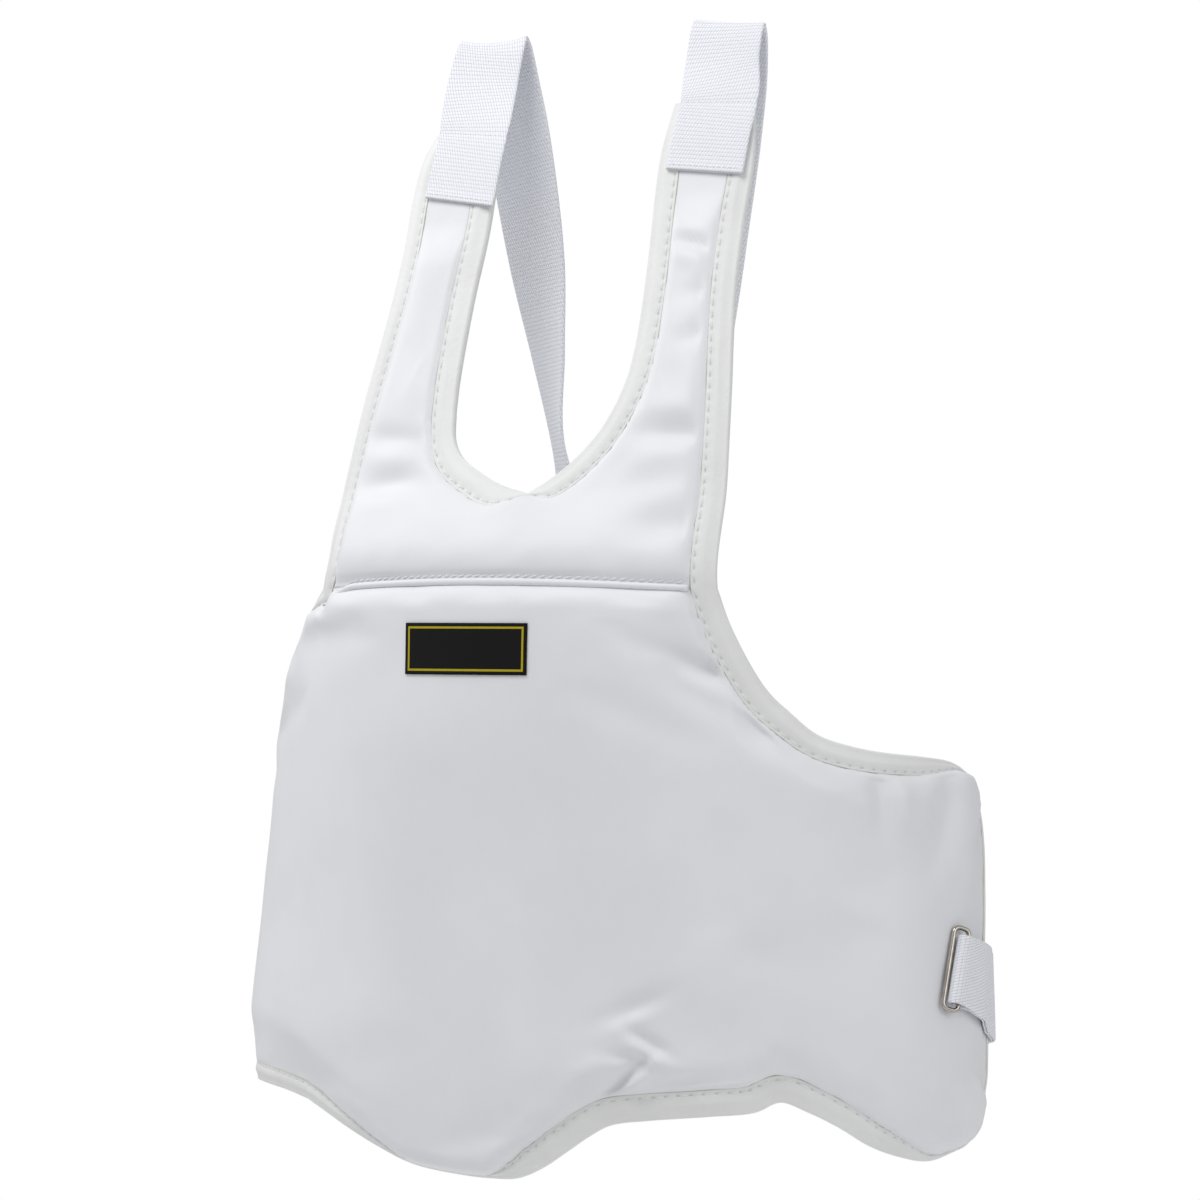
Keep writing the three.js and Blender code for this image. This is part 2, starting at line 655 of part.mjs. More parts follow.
// Webbing tab: one strip from the inside of the wing, round its end, through the ring and back over itself
function ringTab(side) {
  const half = tabWebbing.thickness / 2;
  const loop = ring.wire + gap + tabLay.slack + half;
  const under = tapedHalf + tabWebbing.clearance + half;
  const over = under + tabWebbing.thickness + gap;
  const front = wingEnd - seatGirth(side);
  const lower = (a, p) => {
    const pad = p.x > wingEnd ? 0 : chestThickness(p).front + tabWebbing.clearance + half;
    const near = 1 - THREE.MathUtils.smoothstep(a, tabLay.loopEnd, tabLay.flatFrom);
    return THREE.MathUtils.lerp(Math.max(under, pad), ring.lift - loop, near);
  };
  const upper = (a, p) => {
    const fall = THREE.MathUtils.clamp(a / (front - tabLay.drawnEnd), 0, 1);
    const drawn = THREE.MathUtils.lerp(ring.lift + loop, over, fall);
    return Math.max(lower(a, p) + over - under, drawn);
  };
  const across = [];
  for (let k = 0; k <= steps.tabStrands; k += 1) across.push(tabWebbing.width * (k / steps.tabStrands - 0.5));
  const profile = [
    ...across.map((b) => new THREE.Vector2(b, -half)),
    ...across.slice().reverse().map((b) => new THREE.Vector2(b, half)),
  ];
  const layer = (liftAt, edgeLift, facing) => {
    const bendStart = front - tabLay.bendRoom;
    const bend = 2 * tabLay.bendRoom + Math.PI * edgeLift;
    const places = [];
    for (let i = 0; i < steps.tabFlat; i += 1) {
      places.push(THREE.MathUtils.lerp(-tabLay.fill, bendStart, i / steps.tabFlat));
    }
    for (let i = 0; i < steps.tabBend; i += 1) places.push(bendStart + (bend * i) / steps.tabBend);
    for (let i = 0; i <= steps.tabInside; i += 1) {
      places.push(bendStart + bend + (tabWebbing.innerEnd * i) / steps.tabInside);
    }
    return places.map((a) => profile.map((q) => {
      const p = tabPlace(a, q.x * spreadAt(a, side), side);
      return rolled(p, liftAt(a, p) + facing * q.y, edgeLift, side);
    }));
  };
  const turn = [];
  for (let i = 1; i < steps.tabTurn; i += 1) {
    const angle = Math.PI * (i / steps.tabTurn);
    turn.push(profile.map((q) => {
      const p = tabPlace(-tabLay.fill - Math.sin(angle) * (loop + q.y), q.x, side);
      p.x *= side;
      return onTorso(p, ring.lift - Math.cos(angle) * (loop + q.y));
    }));
  }
  const stations = [...layer(lower, under, -1).reverse(), ...turn, ...layer(upper, over, 1)];
  return swept(stations, profile, false);
}

// Slot ring: a round wire bent to a rounded rectangle, its rear bar held in the tab's loop
function slotRing(side) {
  const [foot, top] = [-ring.inner / 2, ring.inner / 2].map((b) => {
    const p = tabPlace(0, b, side);
    p.x *= side;
    return onTorso(p, ring.lift);
  });
  const bar = top.clone().sub(foot).normalize();
  const centre = foot.clone().lerp(top, 0.5);
  const out = torsoNormal(seatGirth(side) * side, ring.height);
  out.addScaledVector(bar, -out.dot(bar)).normalize();
  out.applyAxisAngle(bar, -side * THREE.MathUtils.degToRad(ring.tilt));
  const forward = out.clone().cross(bar).multiplyScalar(side);
  const reach = ring.opening + 2 * ring.wire;
  const length = ring.inner / 2 + ring.wire;
  const c = ring.corner;
  const corners = [
    { x: reach - c, y: length - c, turn: 0 },
    { x: c, y: length - c, turn: 90 },
    { x: c, y: c - length, turn: 180 },
    { x: reach - c, y: c - length, turn: 270 },
  ];
  const profile = circle(ring.wire, ring.sides);
  const stations = [];
  for (const corner of corners) {
    for (let i = 0; i <= steps.ringCorner; i += 1) {
      const angle = THREE.MathUtils.degToRad(corner.turn + (90 * i) / steps.ringCorner);
      const x = corner.x + c * Math.cos(angle);
      const y = corner.y + c * Math.sin(angle);
      const away = forward.clone().multiplyScalar(Math.cos(angle)).addScaledVector(bar, Math.sin(angle));
      const point = centre.clone().addScaledVector(forward, x).addScaledVector(bar, y);
      stations.push(profile.map((q) => point.clone().addScaledVector(away, q.x).addScaledVector(out, q.y)));
    }
  }
  return swept(stations, profile, true);
}

function wovenLabel() {
  const rows = [];
  for (let r = 0; r <= steps.labelBands; r += 1) {
    const height = label.height + label.drop * (0.5 - r / steps.labelBands);
    const row = [];
    for (let i = 0; i <= steps.labelColumns; i += 1) {
      row.push(new THREE.Vector2(label.girth + label.width * (i / steps.labelColumns - 0.5), height));
    }
    rows.push(row);
  }
  const under = (p) => chestThickness(p).front + label.clearance;
  return padded(rows, (p) => ({ front: under(p) + label.thickness, back: -under(p) }), true);
}

// Finishes
function finish(color, roughness, metalness = 0) {
  return new THREE.MeshStandardMaterial({ color, roughness, metalness });
}

const protector = new THREE.Group();
function add(name, geometry, material) {
  const piece = new THREE.Mesh(geometry, material);
  piece.name = name;
  protector.add(piece);
}

add('chest_panel', chestPanel(), finish(0xe9ebee, 0.45));
add('yoke', yoke(), finish(0xe9ebee, 0.45));
add('yoke_piping', seamPiping(), finish(0xeceef0, 0.4));
add('neck_binding', edgeTape(neckline.slice().reverse()), finish(0xe4e5e0, 0.5));
add('outer_binding', edgeTape(boundEdge), finish(0xe4e5e0, 0.5));
add('shoulder_strap_left', shoulderStrap(-1), finish(0xf0f3f8, 0.85));
add('shoulder_strap_right', shoulderStrap(1), finish(0xf0f3f8, 0.85));
add('ring_tab_left', ringTab(-1), finish(0xf0f3f8, 0.85));
add('ring_tab_right', ringTab(1), finish(0xf0f3f8, 0.85));
add('ring_left', slotRing(-1), finish(0xb9b2a6, 0.25, 1));
add('ring_right', slotRing(1), finish(0xb9b2a6, 0.25, 1));
add('label', wovenLabel(), finish(0x16171a, 0.8));

export default protector;
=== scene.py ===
import math

import bmesh
import bpy
import numpy as np
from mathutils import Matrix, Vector
from numpy.linalg import norm


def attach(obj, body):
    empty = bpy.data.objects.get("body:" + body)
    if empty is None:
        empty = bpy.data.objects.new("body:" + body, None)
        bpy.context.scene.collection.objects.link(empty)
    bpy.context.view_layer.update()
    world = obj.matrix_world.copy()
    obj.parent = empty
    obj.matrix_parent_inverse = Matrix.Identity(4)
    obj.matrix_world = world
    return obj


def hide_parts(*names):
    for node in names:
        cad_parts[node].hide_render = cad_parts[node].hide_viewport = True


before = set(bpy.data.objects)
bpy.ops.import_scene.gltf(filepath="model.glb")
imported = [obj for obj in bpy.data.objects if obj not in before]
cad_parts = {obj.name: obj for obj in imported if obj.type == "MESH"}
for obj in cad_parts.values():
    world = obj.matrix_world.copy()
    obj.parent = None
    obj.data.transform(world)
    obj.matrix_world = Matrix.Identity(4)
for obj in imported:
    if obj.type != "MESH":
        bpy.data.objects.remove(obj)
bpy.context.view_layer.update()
mm = 0.001  # lengths below are in millimetres, meshes in metres
nudge = 0.5  # step over which a slope is read
print("frame loaded")


# Camera

def addObject(name, data):
    thing = bpy.data.objects.new(name, data)
    bpy.context.collection.objects.link(thing)
    return thing


view = dict(aim=(-9.75, 5.9, -284), turn=32, distance=2400, lens=144, sensor=36)


def addCamera():
    turn = math.radians(view["turn"])
    aim = Vector(view["aim"])
    data = bpy.data.cameras.new("camera")
    data.lens = view["lens"]
    data.sensor_width = view["sensor"]
    camera = addObject("camera", data)
    camera.location = (aim + view["distance"] * Vector((math.sin(turn), -math.cos(turn), 0))) * mm
    camera.rotation_euler = (math.radians(90), 0, turn)
    bpy.context.scene.camera = camera


addCamera()
print("camera set")


# The torso that the guard is bent round: half an ellipse at each height

torsoRows = np.array([
    # height, right half's width, left half's width, depth, front
    (-600, 198, 197.5, 129, -121), (-500, 195, 194, 129, -120), (-440, 189, 187.5, 129, -117.5),
    (-390, 185.5, 182, 128.5, -117), (-330, 183, 178.5, 128, -117), (-276, 184, 180.5, 126, -116),
    (-230, 186, 184.5, 84, -92), (-180, 186, 186, 60, -71), (-112, 186, 186, 45, -44),
    (-60, 186, 186, 43, -26), (-33, 186, 186, 43, -14),
], float)
wingMiddle = -450
flareSpan = dict(right=(200, 85), left=(110, 50))  # girth where it starts and over which it grows
flareRows = np.array([
    # height, how far the right wing springs out, how far the left side does
    (-600, -9, 4), (-541, -6.5, 4), (-527, -4.8, 3.8), (-512, -2.4, 2.8), (-497, -1.9, 0.6),
    (-483, -1.4, 0), (-454, 0, 0), (-439, 1.3, 0), (-425, 2.3, 0), (-405, 3.1, -0.5), (-393, 2.7, -0.8),
    (-381, 1.4, -1.1), (-365, 0, -1.2), (-340, 0, -1.2), (-320, 0, -0.5), (-300, 0, 0), (-33, 0, 0),
], float)


def through(rows, column):
    # cubics whose slopes are harmonic means, so nothing overshoots
    x = rows[:, 0]
    y = rows[:, column]
    slope = np.diff(y) / np.diff(x)
    product = slope[:-1] * slope[1:]
    total = slope[:-1] + slope[1:]
    inner = np.where(product > 0, 2 * product / np.where(total == 0, 1, total), 0)
    tangent = np.hstack([slope[:1], inner, slope[-1:]])

    def at(height):
        i = np.clip(np.searchsorted(x, height) - 1, 0, len(x) - 2)
        h = x[i + 1] - x[i]
        s = (height - x[i]) / h
        return ((2 * s**3 - 3 * s**2 + 1) * y[i] + (s**3 - 2 * s**2 + s) * h * tangent[i]
                + (3 * s**2 - 2 * s**3) * y[i + 1] + (s**3 - s**2) * h * tangent[i + 1])

    return at


rightWidthAt, leftWidthAt, depthAt, frontAt = (through(torsoRows, column) for column in range(1, 5))
rightFlareAt, leftFlareAt = (through(flareRows, column) for column in (1, 2))
angleTable = np.linspace(0, 2.4, 1201)  # radians, to past the wings' ends
speed = np.hypot(rightWidthAt(wingMiddle) * np.cos(angleTable), depthAt(wingMiddle) * np.sin(angleTable))
girthTable = np.append(0, np.cumsum((speed[1:] + speed[:-1]) / 2 * np.diff(angleTable)))


def ease(x, start, span):
    t = np.clip((x - start) / span, 0, 1)
    return t * t * (3 - 2 * t)


def packed(*columns):
    # columns side by side as points
    return np.stack(np.broadcast_arrays(*columns), -1)


def torso(girth, height):
    # girth, the arc length round the section through the wings, is turned into an angle
    angle = np.sign(girth) * np.interp(np.abs(girth), girthTable, angleTable)
    rightward = rightWidthAt(height) * np.sin(angle) + rightFlareAt(height) * ease(girth, *flareSpan["right"])
    leftward = leftWidthAt(height) * np.sin(angle) - leftFlareAt(height) * ease(-girth, *flareSpan["left"])
    back = frontAt(height) + depthAt(height) * (1 - np.cos(angle))
    return packed(np.where(girth < 0, leftward, rightward), back, height)


def unit(vectors):
    return vectors / norm(vectors, axis=-1, keepdims=True)


def torsoNormal(girth, height):
    aroundIt = torso(girth + nudge, height) - torso(girth - nudge, height)
    upIt = torso(girth, height + nudge) - torso(girth, height - nudge)
    return unit(np.cross(aroundIt, upIt))


def onTorso(flat, lift):
    # a flat (girth, height) point put on the torso and moved out along the normal
    girth, height = flat[..., 0], flat[..., 1]
    return torso(girth, height) + torsoNormal(girth, height) * np.asarray(lift)[..., None]


# Flat curves in the plane of girth and height

def spansThrough(points, perSpan, places=None):
    # centripetal Catmull-Rom: on each span a cubic whose knots are the roots of the chords
    p = np.asarray(points, float)
    p = np.vstack([2 * p[0] - p[1], p, 2 * p[-1] - p[-2]])
    knot = np.sqrt(norm(np.diff(p[:, :places], axis=0), axis=1))[:, None]
    before, after = knot[:-1], knot[1:]
    tangent = ((p[1:-1] - p[:-2]) / before - (p[2:] - p[:-2]) / (before + after)
               + (p[2:] - p[1:-1]) / after)
    start, end = p[1:-2, None], p[2:-1, None]
    leave = (tangent[:-1] * knot[1:-1])[:, None]
    arrive = (tangent[1:] * knot[1:-1])[:, None]
    s = np.linspace(0, 1, perSpan, endpoint=False)[None, :, None]
    spans = (start + leave * s + (3 * (end - start) - 2 * leave - arrive) * s**2
             + (2 * (start - end) + leave + arrive) * s**3)
    return np.vstack([spans.reshape(-1, p.shape[1]), p[-2:-1]])


def lengthAlong(points):
    return np.append(0, np.cumsum(norm(np.diff(points, axis=0), axis=1)))


def readAt(places, length, columns):
    # columns known at lengths along a path, read at other lengths
    return packed(*(np.interp(places, length, column) for column in columns.T))


def curveThrough(points, steps):
    # the same curve read at even steps of its length
    dense = spansThrough(points, 40)
    length = lengthAlong(dense)
    return readAt(np.linspace(0, length[-1], steps + 1), length, dense)


def joined(*curves):
    return np.vstack([curves[0]] + [curve[1:] for curve in curves[1:]])


def nearestOn(flat, path):
    # distance from flat points to a polyline, and how far along it the nearest place is
    start = path[:-1]
    along = np.diff(path, axis=0)
    step = norm(along, axis=1)
    length = lengthAlong(path)
    points = flat.reshape(-1, 2)
    places, lengths = [], []
    for block in np.array_split(points, max(len(points) // 1500, 1)):
        offset = block[:, None] - start
        part = np.clip((offset * along).sum(-1) / step**2, 0, 1)
        near = norm(offset - part[..., None] * along, axis=-1).argmin(1)
        part = part[np.arange(len(block)), near]
        places.append(start[near] + part[:, None] * along[near])
        lengths.append(length[near] + part * step[near])
    nearest = np.concatenate(places).reshape(flat.shape)
    return norm(flat - nearest, axis=-1), np.concatenate(lengths).reshape(flat.shape[:-1])


def readAlong(rows, path, lengths):
    # a table with rows at places on a path, read at lengths along it
    table = np.array(rows, float)
    anchors = nearestOn(table[:, :2], path)[1]
    order = np.argsort(anchors)
    return [np.interp(lengths, anchors[order], column[order]) for column in table[:, 2:].T]


def plump(x, start, span):
    # quarter of an ellipse: steep at the sewn edge, flat on top
    t = np.clip((x - start) / span, 0, 1)
    return np.sqrt(1 - (1 - t)**2)


patch = dict(top=-42, hem=-78, flatUntil=-86, swell=26, yaw=-5.4, leftDrop=9, skew={1: -4.2, -1: 11.7},
             spread={1: 0.05, -1: 0.12})
outline = {
    # name: steps, then points as (girth, height)
    "seam": (16, [(121.5, -279), (60, -276.5), (0, -275.5), (-60, -276.5), (-118, -279)]),
    "rightArmhole": (20, [(285, wingMiddle), (285, -408), (282, -384.5), (272, -370), (255, -363.3),
        (230, -359.8), (205, -357.2), (188, -354), (171, -348.3), (158, -338), (146, -326.5), (129, -298),
        (121.5, -279)]),
    "leftArmhole": (20, [(-118, -279), (-127, -285.5), (-144, -299), (-165, -314), (-184, -328),
        (-210, -338), (-250, -345), (-272, -354), (-283, -374), (-285, -400), (-285, wingMiddle)]),
    "rightHem": (24, [(285, wingMiddle), (285, -505), (279, -530.5), (262, -542.5), (240, -546),
        (221, -548.2), (205, -545.2), (190, -539.7), (175, -530.5), (160, -522.8), (147, -518),
        (135, -522.8), (115, -524.8)]),
    "middleHem": (16, [(115, -524.8), (85, -527.4), (68, -530), (57, -536), (46, -543.7), (34, -551.8),
        (22, -557), (8, -557.8), (-8, -557.2), (-36, -554.2), (-58, -547.8), (-80, -540.4), (-98, -534.2),
        (-115, -529.1)]),
    "leftHem": (16, [(-115, -529.1), (-130, -527.1), (-143, -526), (-170, -525.8), (-200, -527),
        (-255, -524.5), (-279, -510), (-285, -485), (-285, wingMiddle)]),
    "rightBibOuter": (9, [(92.8, -42), (97, -54), (100.3, -74), (100.6, -104), (103.2, -138), (106.5, -160),
        (110.6, -184), (116.2, -226)]),
    "rightBibFoot": (6, [(116.2, -226), (119.5, -256), (121.5, -279)]),
    "leftBibFoot": (6, [(-118, -279), (-113.4, -265), (-113.3, -250), (-112, -226)]),
    "leftBibOuter": (9, [(-112, -226), (-107.9, -184), (-103.5, -143), (-102, -111), (-102.5, -83),
        (-100.5, -63), (-95, -51)]),
    "rightBibInner": (15, [(50.5, -42), (49, -68), (50, -90), (54.2, -138), (55.4, -160), (54.8, -176),
        (51.8, -190)]),
    "neckRight": (8, [(51.8, -190), (45.5, -204), (35, -217.5), (23.5, -227.5), (12.5, -234.5)]),
    "neckLeft": (8, [(12.5, -234.5), (-5, -230), (-17, -225), (-34, -215.5), (-41.7, -206), (-45.5, -192)]),
    "leftBibInner": (15, [(-45.5, -192), (-47.7, -175), (-49.7, -137), (-49.2, -97), (-51.5, -51)]),
}
sew = dict(edgeHalf=1.8, wingEnd=285, fine=6, coarse=3, sink=0.2, tuck=2, heldEdge=0.5, heldSeam=0.6)


def chain(*names):
    return joined(*(curveThrough(points, steps * sew["fine"]) for steps, points in map(outline.get, names)))


seam = chain("seam")
armholeRight, armholeLeft = chain("rightArmhole"), chain("leftArmhole")
panelTop = joined(armholeRight, seam, armholeLeft)
panelHem = chain("rightHem", "middleHem", "leftHem")
bibRight = chain("rightBibOuter", "rightBibFoot")
bibLeft = chain("leftBibFoot", "leftBibOuter")
neckline = chain("rightBibInner", "neckRight", "neckLeft", "leftBibInner")
yokeOuter = joined(bibRight, seam, bibLeft)
boundEdge = joined(bibRight, armholeRight[::-1], panelHem, armholeLeft[::-1], bibLeft)
edgeLine, neckLine, seamLine = (path[::sew["coarse"]] for path in (boundEdge, neckline, seam))


# Meshes

def circle(count):
    return np.arange(count) * 2 * np.pi / count


def gridQuads(rows, columns, wrapRows=False, wrapColumns=False):
    # quads over a grid, and each corner's row and column before wrapping
    spans = np.arange(rows - (not wrapRows)), np.arange(columns - (not wrapColumns))
    first = packed(*np.meshgrid(*spans, indexing="ij")).reshape(-1, 1, 2)
    place = first + np.array([(0, 0), (0, 1), (1, 1), (1, 0)])
    return place[..., 0] % rows * columns + place[..., 1] % columns, place


def makePiece(name, points, faces, uv=None, merge=False):
    mesh = bpy.data.meshes.new(name)
    mesh.from_pydata((points.reshape(-1, 3) * mm).tolist(), [], faces)
    if uv is not None:
        layer = mesh.uv_layers.new(name="flat")
        layer.data.foreach_set("uv", np.asarray(uv, np.float32).ravel())
    mesh.polygons.foreach_set("use_smooth", np.ones(len(mesh.polygons), bool))
    work = bmesh.new()
    work.from_mesh(mesh)
    if merge:
        bmesh.ops.remove_doubles(work, verts=work.verts, dist=1e-6)
        bmesh.ops.dissolve_degenerate(work, edges=work.edges, dist=1e-7)
    bmesh.ops.recalc_face_normals(work, faces=work.faces)
    work.to_mesh(mesh)
    work.free()
    return addObject(name, mesh)


def sweptPiece(name, stations, along, across, closed=False):
    # a closed profile carried along a path; stations are [along, round the profile, xyz]
    rows, columns = stations.shape[:2]
    quads, place = gridQuads(rows, columns, wrapRows=closed, wrapColumns=True)
    faces = quads.tolist()
    uv = packed(along[place[..., 0]], across[place[..., 1]]).reshape(-1, 2)
    if not closed:
        ids = np.arange(columns)
        faces += [ids[::-1].tolist(), (ids + (rows - 1) * columns).tolist()]
        uv = np.vstack([uv, packed(along[0], across[-2::-1]), packed(along[-1], across[:-1])])
    return makePiece(name, stations, faces, uv)


def closedLength(profile):
    return lengthAlong(np.vstack([profile, profile[:1]]))


def settle(piece, material, node=None, body="guard"):
    piece.data.materials.append(material)
    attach(piece, body)
    if node:
        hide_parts(node)


# Materials

def operation(name):
    return lambda self, *others: self.math(name, self, *others)


class Signal:
    # one changing number in a shader; an operator on it adds a Math node
    def __init__(self, finish, socket):
        self.finish = finish
        self.socket = socket

    def math(self, name, *values):
        node = self.finish.add("Math", dict(enumerate(values)), operation=name)
        return Signal(self.finish, node.outputs[0])

    __add__ = __radd__ = operation("ADD")
    __sub__ = operation("SUBTRACT")
    __mul__ = __rmul__ = operation("MULTIPLY")
    __truediv__ = operation("DIVIDE")
    fract, floor, size = operation("FRACT"), operation("FLOOR"), operation("ABSOLUTE")
    power, least = operation("POWER"), operation("MINIMUM")

    def __rsub__(self, other):
        return self.math("SUBTRACT", other, self)

    def hill(self):
        # parabola over each whole number: 0 at the ends, 1 in the middle
        centred = self.fract() * 2 - 1
        return 1 - centred * centred

    def between(self, low, high):
        sockets = {"Value": self, "From Min": low, "From Max": high}
        node = self.finish.add("MapRange", sockets, interpolation_type="SMOOTHSTEP")
        return Signal(self.finish, node.outputs["Result"])


class Finish:
    # the node tree of a new material or world
    def __init__(self, name, blocks=bpy.data.materials):
        self.block = blocks.new(name)
        self.block.use_nodes = True
        self.tree = self.block.node_tree
        self.tree.nodes.clear()

    def add(self, kind, sockets={}, **settings):
        node = self.tree.nodes.new("ShaderNode" + kind)
        for key, value in settings.items():
            setattr(node, key, value)
        for key, value in sockets.items():
            source = value.socket if isinstance(value, Signal) else value
            if isinstance(source, bpy.types.NodeSocket):
                self.tree.links.new(source, node.inputs[key])
            else:
                node.inputs[key].default_value = source
        return node

    def objectPlace(self):
        return self.add("TexCoord").outputs["Object"]

    def flatPlace(self):
        # the piece's own UV map: millimetres along and across
        node = self.add("SeparateXYZ", {"Vector": self.add("UVMap", uv_map="flat").outputs["UV"]})
        return Signal(self, node.outputs["X"]), Signal(self, node.outputs["Y"])

    def noise(self, scale, detail):
        sockets = {"Vector": self.objectPlace(), "Scale": scale, "Detail": detail}
        return Signal(self, self.add("TexNoise", sockets).outputs["Fac"])

    def grain(self, scale):
        sockets = {"Vector": self.objectPlace(), "Scale": scale}
        node = self.add("TexVoronoi", sockets, feature="DISTANCE_TO_EDGE")
        return Signal(self, node.outputs["Distance"])

    def mix(self, part, first, second):
        node = self.add("Mix", {0: part, 6: first, 7: second}, data_type="RGBA")
        return node.outputs[2]

    def bump(self, height, distance, strength):
        sockets = {"Height": height, "Distance": distance, "Strength": strength}
        return self.add("Bump", sockets).outputs["Normal"]

    def close(self, sockets):
        shader = self.add("BsdfPrincipled", sockets)
        self.add("OutputMaterial", {"Surface": shader.outputs["BSDF"]})
        return self.block


vinyl = dict(light=(0.87, 0.88, 0.91, 1), dull=(0.825, 0.835, 0.87, 1), rough=0.4, cloud=14, grain=1500,
             crease=160)


def makeVinyl():
    # coated cloth: very fine pebble grain, faint clouding in tone and gloss
    finish = Finish("whiteVinyl")
    cloud = finish.noise(vinyl["cloud"], 3)
    pebble = finish.grain(vinyl["grain"]).least(0.25)
    crease = finish.noise(vinyl["crease"], 4)
    return finish.close({
        "Base Color": finish.mix(cloud.between(0.3, 0.7), vinyl["dull"], vinyl["light"]),
        "Roughness": cloud * 0.1 + vinyl["rough"],
        "Specular IOR Level": 0.4,
        "Normal": finish.bump(pebble * 0.6 + crease * 0.5, 0.00012, 0.5),
    })


tape = dict(width=12, thickness=0.8, thinner=1.1, bevel=6, round=1.3, clearance=0.5, pitch=5.8, inset=2.3,
            dent=0.3, dentBeat=0.2, dentWide=1.1, crown=0.15, waver=0.2, fray=0.25,
            waves=((17, 0, 0.5), (7.3, 1.7, 0.3)), fold=0.1, lip=0.12, inSight=0.85,
            stitch=(3.828, 0.34, 0.3), cloud=45, wrinkle=420, light=(0.845, 0.855, 0.85, 1),
            dull=(0.81, 0.82, 0.81, 1), freeEdgeShade=(0.4, 0.39, 0.29, 1), holeDentAndShade=(0.68, 0.69, 0.66, 1))
tapeOver = sew["edgeHalf"] + tape["clearance"] + tape["thickness"]
padLevel = tapeOver - sew["sink"]


def makeTape():
    # warm white tape: wrinkles, painted shade along its free edge where the pad meets it, a pressed dent at
    # each stitch hole with painted shade in it
    finish = Finish("edgeTape")
    along, across = finish.flatPlace()
    cloud = finish.noise(tape["cloud"], 3)
    wrinkle = finish.noise(tape["wrinkle"], 3)
    free = across.size()
    holeAlong = ((along / tape["pitch"]).fract() - 0.5).size() * tape["pitch"]
    holeAcross = (free - tape["inset"]).size()
    holeDentAndShade = (holeAlong * holeAlong + holeAcross * holeAcross * 2).between(0.8, 0.1)
    colour = finish.mix(cloud.between(0.3, 0.7), tape["dull"], tape["light"])
    # painted shade: each stitch hole is coloured darker, as well as dented through the bump below
    colour = finish.mix(holeDentAndShade * 0.8, colour, tape["holeDentAndShade"])
    # painted shade: the colour darkens to olive along the tape's free edge, where the pad meets it
    colour = finish.mix(free.between(0.75, 0.2) * 0.85, colour, tape["freeEdgeShade"])
    return finish.close({
        "Base Color": colour,
        "Roughness": cloud * 0.12 + 0.42,
        "Specular IOR Level": 0.4,
        "Normal": finish.bump(wrinkle - holeDentAndShade * 1.5, 0.0003, 0.6),
    })


weave = dict(rib=2.05, grain=1.5, slant=0.55, cloud=60, high=(0.95, 0.96, 1, 1),
             low=(0.73, 0.765, 0.865, 1))


def makeWebbing():
    # ribs across the strap, each a row of slanted grains half a grain off the next
    finish = Finish("wovenWebbing")
    along, across = finish.flatPlace()
    rib = along / weave["rib"]
    shift = (rib.floor() * 0.5).fract()
    grain = across / weave["grain"] + shift + (rib.fract() - 0.5) * weave["slant"]
    height = rib.hill().power(0.4) * grain.hill().power(0.6)
    cloud = finish.noise(weave["cloud"], 3)
    return finish.close({
        # painted shade: the weave's hollows take the darker, bluer low colour and its crests the high one
        "Base Color": finish.mix(height.between(0.1, 0.75), weave["low"], weave["high"]),
        "Roughness": cloud * 0.15 + 0.7,
        "Specular IOR Level": 0.25,
        "Sheen Weight": 0.15,
        "Normal": finish.bump(height, 0.0005, 0.6),
    })


nickel = dict(colour=(0.47, 0.43, 0.38, 1), hazy=(0.56, 0.52, 0.47, 1), rough=0.12, haze=220)


def makeNickel():
    finish = Finish("nickelWire")
    haze = finish.noise(nickel["haze"], 4)
    return finish.close({
        "Base Color": finish.mix(haze.between(0.35, 0.7), nickel["colour"], nickel["hazy"]),
        "Metallic": 1.0,
        "Roughness": haze * 0.16 + nickel["rough"],
        "Normal": finish.bump(haze, 0.00005, 0.4),
    })


thread = dict(sides=6, parts=5, taper=0.75, sunk=0.6, turn=0.8, slant=2.2, low=(0.8, 0.81, 0.82, 1),
              high=(0.92, 0.93, 0.94, 1))


def makeThread():
    # two-ply thread: slanted turns along each stitch
    finish = Finish("whiteThread")
    along, across = finish.flatPlace()
    twist = (along / thread["turn"] + across / thread["slant"]).hill()
    return finish.close({
        # painted shade: the grooves between the turns take the darker low colour
        "Base Color": finish.mix(twist, thread["low"], thread["high"]),
        "Roughness": 0.6,
        "Normal": finish.bump(twist, 0.0001, 0.6),
    })


label = dict(girth=-3, height=-307.4, width=70, drop=24.5, thickness=0.6, gap=0.15, reach=8, blend=4,
             grid=(61, 25), weave=0.35, inset=2.2, line=0.5, soft=0.12, black=(0.009, 0.009, 0.009, 1),
             dark=(0.004, 0.004, 0.004, 1), yellow=(0.62, 0.5, 0.02, 1))


def makeLabel():
    # black damask with a plain yellow border line
    finish = Finish("labelWeave")
    along, across = finish.flatPlace()
    edge = (label["width"] / 2 - along.size()).least(label["drop"] / 2 - across.size())
    half, soft = label["line"], label["soft"]
    line = (edge - label["inset"]).size().between(half + soft, half - soft)
    warp, weft = along / label["weave"], across / label["weave"]
    ply = warp.hill() * (weft + warp.floor() * 0.5).hill()
    colour = finish.mix(line, label["black"], label["yellow"])
    return finish.close({
        # painted shade: the gaps between the yarns are darkened towards the dark colour
        "Base Color": finish.mix(ply.between(0.6, 0.05) * 0.4, colour, label["dark"]),
        "Roughness": 0.85 - ply * 0.1,
        "Specular IOR Level": 0.15,
        "Normal": finish.bump(ply, 0.0002, 0.6),
    })


vinylFinish = makeVinyl()
tapeFinish = makeTape()
webbingFinish = makeWebbing()
nickelFinish = makeNickel()
threadFinish = makeThread()
labelFinish = makeLabel()
print("materials made")


# Pads

